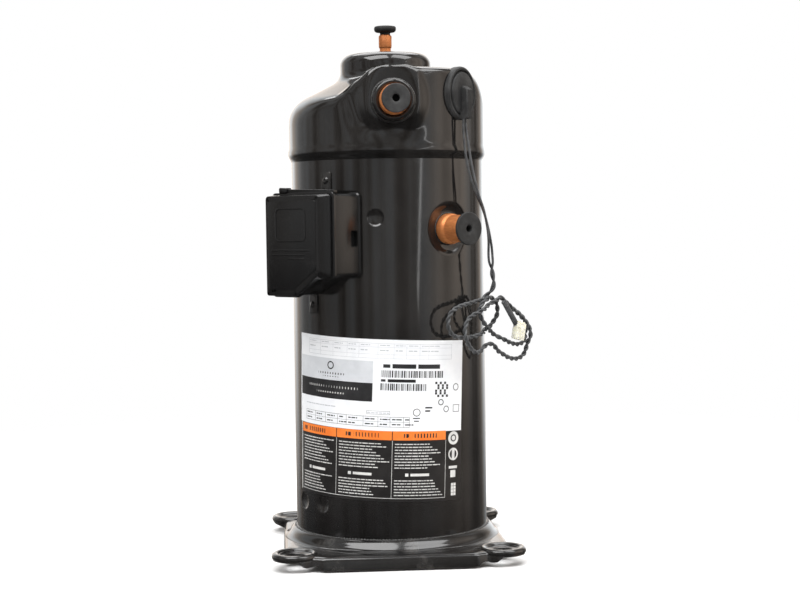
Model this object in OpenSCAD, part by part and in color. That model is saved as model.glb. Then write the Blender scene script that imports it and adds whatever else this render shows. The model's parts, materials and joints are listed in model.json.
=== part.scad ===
// Vertical hermetic scroll compressor with a lifting scroll, its terminal box and its thermistor lead.
// The frame has +Z up, with the origin at the centre of the four mounting holes, in the plane of the
// undersides of the ears. Azimuths are in degrees, from the front (-Y) towards +X.

/* [Shell] */
// Outer radius of the centre shell
shell_r = 92.5; // [88:0.5:98]
// Wall of the centre shell and the lower shell
shell_wall = 3.5; // [2.5:0.25:4.5]
// Height of the centre shell's upper edge
shell_top_z = 378; // [374:1:386]
// Depth of the two shallow dimples at the foot and the one near the terminal box
dimple_depth = 2.5; // [1:0.5:3]

/* [Top cap] */
// How far the cap's wall stands proud of the shell
cap_step = 2; // [1.5:0.25:3]
// Wall of the top cap
cap_wall = 4; // [3:0.5:5]
// Length of the cap's skirt over the shell
cap_lap = 10; // [6:1:12]
// Height of the plateau over the shell's top edge
plateau_h = 69; // [64:1:76]
// Height of the low shoulder's upper edge over the shell's top edge
shoulder_h = 35; // [28:1:40]
// Outer radius of the turret that holds the lift piston
turret_r = 44; // [42:1:48]
// Height of the turret's top over the shell's top edge
turret_h = 89; // [86:1:96]

/* [Base plate] */
// Distance between mounting holes, along X and along Y
hole_pitch = 190.5; // [185:0.5:200]
// Radius of a mounting hole
hole_r = 9.5; // [8:0.25:10]
// Outer radius of an ear
ear_r = 22; // [20:0.5:24]
// Sheet thickness of the base plate
plate_t = 4; // [3:0.5:5]
// How far the downturned flanges reach below the ears
flange_drop = 9; // [6:1:12]
// Distance from the axis to the front and rear flanges
flange_y = 116; // [112:1:120]
// Distance from the axis to the side flanges
flange_x = 105; // [103:1:110]

/* [Terminal box] */
// Azimuth of the box
box_azimuth = -44; // [-60:1:-38]
// Width of the box
box_w = 73; // [66:1:80]
// Height of the box
box_h = 92; // [86:1:100]
// Height of the box's lower edge
box_z = 240; // [236:1:250]
// Depth of the box, from the shell to the rim that the cover meets
box_depth = 27.5; // [24:0.5:36]
// Wall of the box
box_wall = 2; // [1.5:0.25:2.5]
// Depth of the cover
cover_depth = 11; // [8:0.5:14]

/* [Fittings] */
// Azimuth of the suction fitting
suction_azimuth = 34.5; // [30:0.5:40]
// Depth of the suction fitting below the shell's top edge
suction_drop = 79; // [76:1:84]
// Radius of the suction socket
suction_bore_r = 11.15; // [9.5:0.05:11.5]
// Height of the discharge fitting over the shell's top edge
discharge_h = 38; // [34:1:42]
// Radius of the discharge socket
discharge_bore_r = 9.6; // [8:0.05:10.5]
// Radius of the unloader tube's bore
unloader_bore_r = 4; // [3:0.25:4.5]
// Wall of the copper stubs
copper_wall = 1.35; // [1:0.05:1.5]

/* [Thermistor] */
// Azimuth of the thermistor cover
thermistor_azimuth = 42.5; // [40:0.5:50]
// Height of the thermistor cover's centre over the shell's top edge
thermistor_h = 46; // [42:1:48]
// Radius of the thermistor cover
thermistor_r = 23; // [20:0.5:24]
// Diameter of the twisted lead
lead_d = 4.6; // [4:0.1:5]

/* [Labels] */
// Thickness of a label
label_t = 0.25; // [0.2:0.05:0.4]
// Height of the upper edge of the upper label
label_top_z = 199; // [196:1:203]
// Height where the two labels meet
label_mid_z = 116; // [110:1:122]
// Height of the lower edge of the lower label
label_foot_z = 49; // [47:1:54]

/* [Scroll set] */
// Base radius of the involute
involute_a = 2.87; // [2.8:0.01:2.95]
// Thickness of the scroll wraps
wrap_t = 3.7; // [3.4:0.1:3.9]
// Height of the scroll wraps
wrap_h = 30; // [26:1:32]
// Turns of each wrap
wrap_turns = 2.75; // [2:0.25:2.75]
// Running gap between the flanks of the two wraps
flank_gap = 0.3; // [0.25:0.05:0.5]
// Height that the upper scroll lifts to unload
lift_travel = 1; // [0.5:0.1:1.5]

/* [Motor] */
// Radius of the stator bore
stator_bore_r = 46; // [44:0.5:48]
// Radial air gap between the rotor and the stator
air_gap = 0.6; // [0.4:0.1:1]
// Height of the stator stack's lower face
stack_z = 90; // [86:1:94]
// Length of the stator stack
stack_h = 115; // [100:1:118]
// Radius of the crankshaft at the main bearing
journal_r = 16; // [15:0.5:17]
// Radius of the crankshaft at the lower bearing
lower_journal_r = 13; // [12:0.5:14]
// Radial clearance of every running fit
running_gap = 0.05; // [0.02:0.01:0.08]

/* [Hidden] */
$fn = 96;
overlap = 1;
far = 300;

// Shell and cap
shell_in = shell_r - shell_wall;
plateau_z = shell_top_z + plateau_h;
shoulder_z = shell_top_z + shoulder_h;
turret_top_z = shell_top_z + turret_h;
suction_z = shell_top_z - suction_drop;
discharge_z = shell_top_z + discharge_h;
thermistor_z = shell_top_z + thermistor_h;
port_reach = 20;
seat_gap = 0.1;
cap_r = shell_r + cap_step;
cap_rim_z = shell_top_z - cap_lap;
partition_t = 4;
partition_top_z = shell_top_z + partition_t;
edge_round = 9;
turret_round = 8;
turret_foot_z = plateau_z - 4;
high_from = -22;
high_to = 100;
dimple_r = 7;

// Base plate
ear_at = hole_pitch / 2;
ear_base_t = 3;
ear_lip_h = 3;
ear_recess_r = 14;
front_half = 70;
side_half = 66;
crimp = 18;
sheet_hole_r = 62;
foot_ring_h = 6;
foot_ring_w = 9;

// Terminal box
box_shift = 2.5;
box_left = box_shift - box_w / 2;
box_right = box_shift + box_w / 2;
cut_from = box_right - 44;
cut_to = box_right - 15;
cut_rise = 15.5;
cut_end = 17;
box_back_t = 2.5;
box_back = shell_r + 1.5;
box_front = shell_r + box_depth;
box_root = shell_r - 32;
terminal_z = box_z + 50;
terminal_r = 19;
pin_r = 1.6;
pin_circle_r = 8;
glass_wall = 1.5;
pin_start = shell_r - 16;
pin_end = shell_r + 19.5;
lip_over = 2;
lip_t = 3;
cover_gap = 0.3;
strip_w = 66;
lower_bracket_azimuth = -52.8;
bracket_screw_r = 2.1;
ground_at = [-18, 20, 0];
ground_r = 2.4;

// Fittings
stub_out = shell_r + 24.5;
plug_depth = 12;
plug_flange_t = 3;
plug_gap = 0.3;
plug_hole_r = 3.3;
suction_in = shell_r - 8.5;
suction_flange_r = 15.2;
discharge_flange_r = 13.2;
pad_r = 26;
pad_in = shell_r - 6.1;
pad_face = shell_r - 3.3;
boss_r = 19;
boss_in = cap_r - 10.5;
boss_out = cap_r + 11.5;
valve_seat_t = 3;
valve_disc_t = 1.5;
valve_travel = 2.5;
valve_port_r = 6;
guard_t = 2;
discharge_r = discharge_bore_r + 4;
unloader_top_z = turret_top_z + 19;
unloader_foot_z = turret_top_z - 10;
unloader_cap_r = 10.5;

// Bearings and shaft
orbit_r = PI * involute_a - wrap_t - flank_gap;
bush_t = 2;
tip_gap = 0.2;
plate_gap = 0.2;
orbit_plate_t = 9;
fixed_plate_t = 9;
head_room = 9.6;
thrust_z = shell_top_z - head_room - fixed_plate_t - tip_gap - wrap_h - orbit_plate_t - plate_gap;
thrust_t = 1.5;
housing_foot_z = thrust_z - 74;
housing_cone_z = thrust_z - 44;
housing_rim_z = thrust_z - 66;
housing_rim_h = 14;
cavity_z = thrust_z - 28;
hub_out_r = 20;
cavity_r = hub_out_r + orbit_r + 3;
housing_head_r = 74;
thrust_out_r = 47;
lower_bearing_z = 48;
lower_bearing_h = 14;
shaft_foot_z = 42;
shaft_r = 15;
pin_eccentric_r = 9;
bushing_r = 13;
bushing_z = thrust_z - 23;
bushing_top_z = thrust_z - 2;
main_journal_z = housing_foot_z + 2;
oil_bore_r = 2.5;

// Scrolls
orbit_plate_z = thrust_z + plate_gap;
orbit_plate_r = 69;
wrap_z = orbit_plate_z + orbit_plate_t;
fixed_plate_z = wrap_z + wrap_h + tip_gap;
fixed_top_z = fixed_plate_z + fixed_plate_t;
fixed_r = 84;
fixed_in_r = 76;
bolt_circle_r = 79.5;
bolt_azimuths = [0, 90, 180, 270];
bolt_r = 3;
sleeve_r = 4.2;
bolt_head_r = 5.5;
post_r = 3.9;
ring_in_r = 53;
ring_out_r = 63;
ring_z = thrust_z - 14;
ring_t = 6;
key_w = 8;
key_l = 9;
key_h = 5;
port_r = 5;
seal_in_r = 30;
seal_out_r = 46;
seal_h = 6;

// Lift piston
rod_r = 12;
rod_bore_r = 7;
piston_r = 30;
piston_z = turret_top_z - 31;
piston_t = 14;
cylinder_wall = 5;
cylinder_z = turret_top_z - 39;
cylinder_top_z = turret_top_z - cap_wall;
spring_r = 20;
spring_wire_r = 1.2;
spring_turns = 3;
spring_sides = 8;
spring_steps = 12;

// Motor
stack_top_z = stack_z + stack_h;
slots = 24;
slot_in_r = stator_bore_r + 4;
slot_out_r = stator_bore_r + 24;
slot_w = 7;
winding_overhang = 26;
winding_in_r = stator_bore_r + 5;
winding_out_r = stator_bore_r + 28;
rotor_r = stator_bore_r - air_gap;
rotor_over = 2;
end_ring_t = 7;
weight_h = 17;
weight_r = 43;

// Labels
label_from = -68.5;
label_to = 42;
lower_label_to = 42;

// Thermistor and its lead
cover_body = 4.5;
cover_rim_t = 2;
channel_w = 11;
channel_t = 6;
lead_sides = 8;
// Route of the lead from the cover down to its loops, in millimetres
lead_route = [[67, -77, 400], [67, -77, 392], [68, -77, 382], [70, -76, 366], [73, -76, 350],
  [78, -75, 332], [84, -74, 316], [88, -72, 300], [90, -71, 286], [91, -69, 270], [93, -67, 254],
  [95, -64, 240]];
lead_fill = 2;
coil_azimuth = 40;
coil_near = shell_r + 11.5;
coil_t = 12;
coil_from = -36;
coil_to = 86;
coil_foot_z = 172;
coil_top_z = 238;
connector_u = 54;
connector_z = 202;
connector_size = [12, 17, 7];
sleeve_top = [36, 229];
sleeve_foot = [51, 209];
lead_sleeve_r = 2.5;

// Points on an arc in a profile, from angle a0 to a1
function arc(cx, cy, r, a0, a1, n = 8) =
  [for (i = [0 : n]) let (a = a0 + (a1 - a0) * i / n) [cx + r * cos(a), cy + r * sin(a)]];

// A point of an involute wall, at roll angle t and offset half the wall's thickness
function involute(t, offset_angle) =
  let (s = t * 180 / PI, o = offset_angle)
  [involute_a * (cos(s) + (t + o) * sin(s)), involute_a * (sin(s) - (t + o) * cos(s))];

// Unit vector along b - a
function along(a, b) = (b - a) / norm(b - a);

// A smooth curve through the points of a route, n steps between each pair
function smooth(p, n) = [
  for (i = [0 : len(p) - 2])
    for (k = [0 : n - 1])
      let (t = k / n, a = p[max(i - 1, 0)], b = p[i], c = p[i + 1], d = p[min(i + 2, len(p) - 1)])
      0.5 * (2 * b + (c - a) * t + (2 * a - 5 * b + 4 * c - d) * t * t
        + (3 * b - a - 3 * c + d) * t * t * t),
  p[len(p) - 1]];

// Stand the children at an azimuth and a height, with their Z outwards and their Y up
module outward(azimuth, height) {
  rotate([0, 0, azimuth]) translate([0, 0, height]) rotate([90, 0, 0]) children();
}

// Put the children at an azimuth, with -Y outwards
module at_azimuth(azimuth) {
  rotate([0, 0, azimuth]) children();
}

// A tall wedge between two azimuths less than 180 degrees apart, its two sides moved in by an inset
module sector(from, to, z0, z1, inset = 0) {
  mid = (from + to) / 2;
  shift = inset / sin((to - from) / 2);
  translate([shift * sin(mid), -shift * cos(mid), z0]) linear_extrude(z1 - z0) polygon([[0, 0],
    [far * sin(from), -far * cos(from)], [far * 1.4 * sin(mid), -far * 1.4 * cos(mid)],
    [far * sin(to), -far * cos(to)]]);
}

// A ring or a tube about Z
module ring(r_out, r_in, z0, z1) {
  translate([0, 0, z0]) difference() {
    cylinder(r = r_out, h = z1 - z0);
    translate([0, 0, -overlap]) cylinder(r = r_in, h = z1 - z0 + 2 * overlap);
  }
}

// A tube of round section swept along points
module sweep(points, r, sides) {
  last = len(points) - 1;
  rings = [for (i = [0 : last])
    let (t = along(points[max(i - 1, 0)], points[min(i + 1, last)]),
      side = along([0, 0, 0], cross(t, abs(t.z) > 0.9 ? [0, 1, 0] : [0, 0, 1])), up = cross(side, t))
    [for (k = [0 : sides - 1]) points[i] + r * (cos(360 * k / sides) * side + sin(360 * k / sides) * up)]];
  polyhedron([for (r_i = rings) for (p = r_i) p], concat(
    [[for (k = [0 : sides - 1]) k]],
    [for (i = [0 : last - 1]) for (k = [0 : sides - 1])
      [i * sides + k, (i + 1) * sides + k, (i + 1) * sides + (k + 1) % sides, i * sides + (k + 1) % sides]],
    [[for (k = [sides - 1 : -1 : 0]) last * sides + k]]));
}

// ---- Shell ----

// Where the suction tube and the terminal go through the shell
module shell_ports() {
  outward(suction_azimuth, suction_z) translate([0, 0, suction_in - overlap])
    cylinder(r = pad_r + seat_gap, h = port_reach);
  outward(box_azimuth, terminal_z) translate([0, 0, shell_r - port_reach])
    cylinder(r = terminal_r, h = 2 * port_reach);
}

// The shallow pressed dimples, as balls that bite into the shell's outer face
module dimples() {
  ball_r = (dimple_r * dimple_r + dimple_depth * dimple_depth) / (2 * dimple_depth);
  for (place = [[-11, 310], [-67, 43], [-48.5, 43]])
    outward(place[0], place[1]) translate([0, 0, shell_r - dimple_depth + ball_r]) sphere(r = ball_r);
}

module base_outline() {
  polygon([[-front_half, -flange_y], [front_half, -flange_y], [front_half + crimp, -flange_y + 8],
    [flange_x, -side_half], [flange_x, side_half], [front_half + crimp, flange_y - 8],
    [front_half, flange_y], [-front_half, flange_y], [-front_half - crimp, flange_y - 8],
    [-flange_x, side_half], [-flange_x, -side_half], [-front_half - crimp, -flange_y + 8]]);
}

module base_plate() {
  color("#191b1d") difference() {
    union() {
      linear_extrude(plate_t) base_outline();
      for (x = [-1, 1], y = [-1, 1]) translate([x * ear_at, y * ear_at, 0])
        cylinder(r = ear_r, h = ear_base_t + ear_lip_h);
      for (y = [-1, 1]) {
        translate([-front_half, y * (flange_y - plate_t / 2) - plate_t / 2, -flange_drop])
          cube([2 * front_half, plate_t, flange_drop + plate_t]);
        for (x = [-1, 1])
          translate([0, 0, -flange_drop / 2]) linear_extrude(flange_drop / 2 + overlap) polygon([
          [x * front_half, y * flange_y], [x * (front_half + crimp), y * (flange_y - 8)],
          [x * (front_half + crimp), y * (flange_y - 8 - plate_t)],
          [x * front_half, y * (flange_y - plate_t)]]);
      }
      for (x = [-1, 1]) translate([x * (flange_x - plate_t / 2) - plate_t / 2, -side_half, -flange_drop])
        cube([plate_t, 2 * side_half, flange_drop + plate_t]);
      rotate_extrude() polygon([[shell_r, plate_t - overlap], [shell_r + foot_ring_w, plate_t - overlap],
        [shell_r + foot_ring_w, plate_t], [shell_r + 3, plate_t + foot_ring_h / 2],
        [shell_r, plate_t + foot_ring_h]]);
    }
    for (x = [-1, 1], y = [-1, 1]) translate([x * ear_at, y * ear_at, 0]) {
      translate([0, 0, -flange_drop - overlap]) cylinder(r = hole_r, h = far);
      translate([0, 0, ear_base_t]) cylinder(r = ear_recess_r, h = far);
    }
    translate([0, 0, -overlap]) cylinder(r = sheet_hole_r, h = far);
  }
}

module lower_shell() {
  t = shell_wall;
  color("#17191b") rotate_extrude() polygon([[0, plate_t], [70, plate_t], [82, plate_t + 2.5],
    [shell_in, plate_t + 12], [shell_in, plate_t + 30], [shell_in - t, plate_t + 30],
    [shell_in - t, plate_t + 14], [80, plate_t + 6.5], [69, plate_t + t], [0, plate_t + t]]);
}

module centre_shell() {
  color("#141618") difference() {
    ring(shell_r, shell_in, plate_t, shell_top_z);
    shell_ports();
    dimples();
  }
}

// The cap's form, moved in by an inset; its foot reaches down to z0
module cap_form(inset, z0) {
  r = cap_r - inset;
  low = shoulder_z - inset;
  high = plateau_z - inset;
  foot = turret_foot_z - inset;
  rotate_extrude() polygon(concat([[0, z0], [r, z0]],
    arc(r - edge_round, low - edge_round, edge_round, 0, 60),
    [[turret_r - inset, foot], [0, foot]]));
  intersection() {
    rotate_extrude() polygon(concat([[0, z0], [r, z0]],
      arc(r - edge_round, high - edge_round, edge_round, 0, 90), [[0, high]]));
    sector(high_from, high_to, z0 - overlap, high + overlap, inset);
  }
  rotate_extrude() polygon(concat([[0, z0], [turret_r - inset, z0]],
    arc(turret_r - inset - turret_round, turret_top_z - inset - turret_round, turret_round, 0, 90),
    [[0, turret_top_z - inset]]));
}

module top_cap() {
  color("#17191c") difference() {
    union() {
      cap_form(0, cap_rim_z);
      ring(cap_r + 1, shell_r, cap_rim_z, cap_rim_z + 6);
    }
    cap_form(cap_wall, partition_top_z);
    translate([0, 0, cap_rim_z - overlap])
      cylinder(r = shell_r, h = partition_top_z - cap_rim_z + 2 * overlap);
    outward(0, discharge_z) cylinder(r = boss_r, h = far);
    translate([0, 0, unloader_foot_z - overlap])
      cylinder(r = unloader_bore_r + copper_wall, h = far);
  }
}

module partition_plate() {
  color("#3c4044") difference() {
    rotate_extrude() polygon([[rod_r + running_gap, shell_top_z], [shell_r, shell_top_z],
      [shell_r, partition_top_z + overlap], [shell_r - 6, partition_top_z + overlap],
      [shell_r - 8, partition_top_z], [60, partition_top_z], [50, partition_top_z + 3],
      [rod_r + running_gap, partition_top_z + 3]]);
    for (a = [45, 135, 225, 315]) at_azimuth(a)
      translate([0, -38, shell_top_z - overlap]) cylinder(r = 3, h = 20);
  }
}

module piston_cylinder() {
  color("#6d7276") union() {
    ring(piston_r + running_gap + cylinder_wall, piston_r + running_gap, cylinder_z, cylinder_top_z - 1);
    ring(turret_r - cap_wall - turret_round, 0.5 * piston_r, cylinder_top_z - 2, cylinder_top_z);
  }
}

// ---- Fittings ----

module suction_pad() {
  color("#1b1d1f") difference() {
    intersection() {
      outward(suction_azimuth, suction_z) translate([0, 0, pad_in]) cylinder(r = pad_r, h = 20);
      cylinder(r = shell_r, h = far * 2);
    }
    outward(suction_azimuth, suction_z) translate([0, 0, pad_face]) cylinder(r = pad_r - 3, h = far);
    outward(suction_azimuth, suction_z) cylinder(r = suction_bore_r + copper_wall, h = far);
  }
}

module suction_stub() {
  color("#b5643a") outward(suction_azimuth, suction_z) difference() {
    union() {
      translate([0, 0, suction_in]) cylinder(r = suction_bore_r + copper_wall, h = stub_out - suction_in);
      translate([0, 0, pad_face + 0.1]) cylinder(r = suction_bore_r + copper_wall + 1.5, h = 8);
    }
    translate([0, 0, suction_in - overlap]) cylinder(r = suction_bore_r, h = far);
  }
}

module suction_baffle() {
  r = shell_in - 4;
  color("#8a8f94") union() {
    intersection() {
      ring(r + 1.2, r, suction_z - 18, suction_z + 18);
      sector(suction_azimuth - 20, suction_azimuth + 20, 0, far * 2);
      difference() {
        cylinder(r = far, h = far * 2);
        outward(suction_azimuth, suction_z) translate([0, 0, suction_in - 1]) cylinder(r = 13, h = 40);
      }
    }
    for (side = [-1, 1]) intersection() {
      ring(shell_in, r, suction_z - 18, suction_z + 18);
      sector(suction_azimuth + side * 19 - 1, suction_azimuth + side * 19 + 1, 0, far * 2);
    }
  }
}

module suction_plug() {
  plug(suction_azimuth, suction_z, suction_bore_r, suction_flange_r);
}

// A rubber plug: a shank in the stub, a flange on its end and a hole through it
module plug(azimuth, height, bore_r, flange_r) {
  color("#161616") outward(azimuth, height) difference() {
    union() {
      translate([0, 0, stub_out - plug_depth]) cylinder(r = bore_r - plug_gap, h = plug_depth);
      translate([0, 0, stub_out]) cylinder(r = flange_r, h = plug_flange_t);
    }
    translate([0, 0, stub_out - plug_depth + 4]) cylinder(r = plug_hole_r, h = far);
  }
}

module discharge_plug() {
  plug(0, discharge_z, discharge_bore_r, discharge_flange_r);
}

module discharge_boss() {
  color("#1e2022") outward(0, discharge_z) difference() {
    translate([0, 0, boss_in]) cylinder(r = boss_r, h = boss_out - boss_in);
    translate([0, 0, boss_in - overlap]) cylinder(r = valve_port_r, h = 20);
    translate([0, 0, boss_in + valve_seat_t]) cylinder(r = discharge_r, h = far);
  }
}

module discharge_stub() {
  start = boss_in + valve_seat_t + valve_disc_t + valve_travel + guard_t + 0.4;
  color("#b0623a") outward(0, discharge_z) difference() {
    translate([0, 0, start]) cylinder(r = discharge_r, h = stub_out - start);
    translate([0, 0, start - overlap]) cylinder(r = discharge_bore_r, h = far);
  }
}

module valve_guard() {
  start = boss_in + valve_seat_t + valve_disc_t + valve_travel + 0.4;
  color("#8d9296") outward(0, discharge_z) difference() {
    translate([0, 0, start]) cylinder(r = discharge_r, h = guard_t);
    for (a = [0, 90, 180, 270]) rotate([0, 0, a]) translate([7.5, 0, start - overlap])
      cylinder(r = 3, h = guard_t + 2 * overlap);
  }
}

module valve_disc() {
  color("#b8bcc0") outward(0, discharge_z) translate([0, 0, boss_in + valve_seat_t + 0.1])
    cylinder(r = discharge_r - 1, h = valve_disc_t);
}

module unloader_stub() {
  color("#c0703f") difference() {
    union() {
      translate([0, 0, unloader_foot_z])
        cylinder(r = unloader_bore_r + copper_wall, h = unloader_top_z - unloader_foot_z);
      translate([0, 0, turret_top_z + 7]) cylinder(r = 6.2, h = 11.6);
    }
    translate([0, 0, unloader_foot_z - overlap]) cylinder(r = unloader_bore_r, h = far);
  }
}

module unloader_cap() {
  color("#161616") union() {
    translate([0, 0, unloader_top_z - 8]) cylinder(r = unloader_bore_r - plug_gap, h = 9);
    translate([0, 0, unloader_top_z]) cylinder(r = 5, h = 3);
    translate([0, 0, unloader_top_z + 2.5]) cylinder(r = unloader_cap_r, h = 6);
  }
}

// ---- Thermistor ----

module thermistor_cover() {
  color("#1a1a1b") difference() {
    outward(thermistor_azimuth, thermistor_z) {
      translate([0, 0, cap_r - 14]) cylinder(r = thermistor_r, h = cover_body + 14);
      translate([0, 0, cap_r + cover_body - overlap]) cylinder(r = 18, h = cover_rim_t + overlap);
      translate([-channel_w / 2, -thermistor_r - 1, cap_r])
        cube([channel_w, thermistor_r + 3, cover_body + channel_t]);
    }
    cylinder(r = cap_r, h = far * 2);
    outward(thermistor_azimuth, thermistor_z) translate([0, 0, cap_r - 14]) cylinder(r = 9, h = 17);
  }
}

module thermistor_probe() {
  color("#c9b27a") difference() {
    outward(thermistor_azimuth, thermistor_z) translate([0, 0, cap_r - 4]) cylinder(r = 6, h = 7);
    cylinder(r = cap_r, h = far * 2);
  }
}

module thermistor_lead() {
  color("#2f3032") sweep(smooth(lead_route, lead_fill), lead_d / 2, lead_sides);
}

// Place children in the plane of the coil: X along the coil, Y up, Z away from the shell
module coil_plane(near) {
  rotate([0, 0, coil_azimuth]) translate([0, -near, 0]) rotate([90, 0, 0]) children();
}

module thermistor_coil() {
  r = (coil_top_z - coil_foot_z) / 2;
  mid = (coil_top_z + coil_foot_z) / 2;
  color("#3a3b3d") coil_plane(coil_near) union() {
    translate([coil_from + r, mid, 0]) cylinder(r = r, h = coil_t);
    translate([coil_to - r, mid, 0]) cylinder(r = r, h = coil_t);
    translate([coil_from + r, mid - r, 0]) cube([coil_to - coil_from - 2 * r, 2 * r, coil_t]);
  }
}

module thermistor_connector() {
  size = connector_size;
  color("#dcd8b8") coil_plane(coil_near + coil_t) translate([connector_u, connector_z, 0]) difference() {
    translate([-size.x / 2, -size.y / 2, 0]) cube(size);
    for (x = [-3, 3]) translate([x - 1.6, -size.y / 2 - overlap, 2]) cube([3.2, 8, 3.2]);
  }
}

module lead_sleeve() {
  run = sleeve_foot - sleeve_top;
  color("#1c1c1d") coil_plane(coil_near + coil_t) translate([sleeve_top.x, sleeve_top.y, lead_sleeve_r])
    rotate([0, 0, atan2(run.y, run.x)]) rotate([0, 90, 0])
      cylinder(r = lead_sleeve_r, h = norm(run), $fn = 32);
}

// ---- Terminal box ----

// Outline of the box, grown by an amount, with the corner cut away
module box_outline(grow) {
  g = grow;
  polygon([[box_left - g, -g], [cut_from + g / 4, -g], [cut_to + g / 3, cut_rise - g],
    [box_right + g, cut_end - g],
    [box_right + g, box_h + g], [box_left - g, box_h + g]]);
}

module terminal_box() {
  color("#202123") difference() {
    outward(box_azimuth, box_z) difference() {
      translate([0, 0, box_root]) linear_extrude(box_front - box_root) box_outline(0);
      translate([0, 0, box_back + box_back_t]) linear_extrude(far) box_outline(-box_wall);
      translate([0, terminal_z - box_z, 0]) cylinder(r = terminal_r + 3, h = far);
      translate([box_right - 4, 44, shell_r - 4]) cube([8, 14, 8]);
      translate(ground_at) cylinder(r = ground_r + running_gap, h = far);
    }
    cylinder(r = shell_r + 0.3, h = far * 2);
  }
}

module terminal_plate() {
  color("#55595d") outward(box_azimuth, terminal_z) difference() {
    union() {
      translate([0, 0, shell_r - 10.5]) cylinder(r = terminal_r, h = 12.5);
      translate([0, 0, shell_r + 0.7]) cylinder(r = terminal_r + 2, h = 1.8);
    }
    translate([0, 0, shell_r - 11.5]) cylinder(r = terminal_r - 3, h = 10);
    at_pins(shell_r - 12.5) cylinder(r = pin_r + glass_wall, h = 40);
  }
}

// Put the children at each of the three pins
module at_pins(z) {
  for (a = [90, 210, 330]) rotate([0, 0, a]) translate([pin_circle_r, 0, z]) children();
}

module terminal_pins() {
  color("#b9a37a") outward(box_azimuth, terminal_z)
    at_pins(pin_start) cylinder(r = pin_r, h = pin_end - pin_start, $fn = 32);
}

module pin_glass() {
  color("#3a6a52") outward(box_azimuth, terminal_z) at_pins(shell_r - 1.5) difference() {
    cylinder(r = pin_r + glass_wall, h = 5, $fn = 32);
    translate([0, 0, -overlap]) cylinder(r = pin_r, h = 8, $fn = 32);
  }
}

module terminal_block() {
  color("#2c2d30") outward(box_azimuth, terminal_z) difference() {
    translate([0, 0, shell_r + 4.5]) linear_extrude(13) difference() {
      square([34, 30], center = true);
      for (x = [-1, 1]) translate([x * 17, 15]) circle(r = 5);
    }
    at_pins(shell_r) cylinder(r = pin_r, h = 60, $fn = 32);
  }
}

module ground_screw() {
  color("#4f9a4f") outward(box_azimuth, box_z) translate(ground_at) union() {
    translate([0, 0, box_back + box_back_t]) cylinder(r = 4.5, h = 3, $fn = 6);
    translate([0, 0, box_back]) cylinder(r = ground_r, h = 4);
  }
}

module terminal_cover() {
  z0 = box_front + cover_gap;
  color("#1d1e20") outward(box_azimuth, box_z) difference() {
    union() {
      translate([0, 0, z0]) linear_extrude(lip_t) box_outline(lip_over);
      translate([0, 0, z0 + lip_t - overlap]) linear_extrude(cover_depth - lip_t - 2) box_outline(-2.5);
      translate([0, 0, z0 + lip_t]) linear_extrude(cover_depth - lip_t) box_outline(-4);
      translate([box_shift - strip_w / 2, box_h + 2, z0 - 3]) cube([strip_w, 3, lip_t + 4]);
    }
    translate([0, 0, z0 - overlap]) linear_extrude(cover_depth - 2) box_outline(-6);
  }
}

// A steel strip bracket with a screw hole, from the box's edge up or down the shell
module bracket(azimuth, z0, z1, hole_z) {
  color("#2b2d30") difference() {
    outward(azimuth, z0) translate([-5.5, 0, shell_r - 1]) cube([11, z1 - z0, 3]);
    cylinder(r = shell_r + seat_gap, h = far * 2);
    outward(azimuth, hole_z) cylinder(r = bracket_screw_r + seat_gap, h = far, $fn = 32);
  }
}

module upper_bracket() {
  bracket(-41, box_z + box_h, box_z + box_h + 21, box_z + box_h + 13);
}

module lower_bracket() {
  bracket(lower_bracket_azimuth, box_z - 15, box_z, box_z - 10);
}

module bracket_screws() {
  color("#9a9da0") for (place = [[-41, box_z + box_h + 13], [lower_bracket_azimuth, box_z - 10]])
    outward(place[0], place[1]) union() {
      translate([0, 0, shell_r]) cylinder(r = bracket_screw_r, h = 3, $fn = 32);
      translate([0, 0, shell_r + 2]) cylinder(r = 3.6, h = 2, $fn = 32);
    }
}

// ---- Labels ----

module label(z0, z1, from, to) {
  intersection() {
    ring(shell_r + label_t, shell_r, z0, z1);
    sector(from, to, z0 - overlap, z1 + overlap);
  }
}

module upper_label() {
  color("#e4e6e8") label(label_mid_z, label_top_z, label_from, label_to);
}

module lower_label() {
  color("#26282b") label(label_foot_z, label_mid_z, label_from, lower_label_to);
}

// ---- Bearings and motor ----

module bearing_housing() {
  bore = journal_r + running_gap + bush_t;
  color("#7b7f83") difference() {
    union() {
      ring(bore + 8, bore, housing_foot_z, cavity_z);
      rotate_extrude() polygon([[bore, housing_cone_z], [60, housing_rim_z], [shell_in, housing_rim_z],
        [shell_in, housing_rim_z + housing_rim_h], [housing_head_r, housing_rim_z + housing_rim_h],
        [housing_head_r, thrust_z - 2], [ring_out_r + orbit_r + 3, thrust_z - 2],
        [ring_out_r + orbit_r + 3, ring_z - 0.3], [ring_in_r - orbit_r - 1, ring_z - 0.3],
        [ring_in_r - orbit_r - 1, thrust_z - thrust_t], [cavity_r, thrust_z - thrust_t],
        [cavity_r, cavity_z],
        [bore, cavity_z]]);
      for (a = bolt_azimuths) at_azimuth(a) translate([0, -bolt_circle_r, housing_rim_z])
        cylinder(r = post_r, h = thrust_z + 4 - housing_rim_z);
    }
    // The Oldham keys' slots, widened by the orbit so that the ring can ride with the scroll
    for (x = [-1, 1]) translate([x * (ring_in_r + ring_out_r) / 2, 0, ring_z - 4])
      cube([key_l + 2 * orbit_r + 2, key_w + 2 * orbit_r + 2, 9], center = true);
    for (a = [45, 135, 225, 315]) at_azimuth(a) translate([0, -82, 0]) cylinder(r = 5, h = far * 2);
    for (a = bolt_azimuths) at_azimuth(a)
      translate([0, -bolt_circle_r, thrust_z - 20]) cylinder(r = bolt_r, h = 60);
  }
}

module main_bush() {
  color("#c08a4a")
    ring(journal_r + running_gap + bush_t, journal_r + running_gap, housing_foot_z + 2, cavity_z - 2);
}

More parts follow.
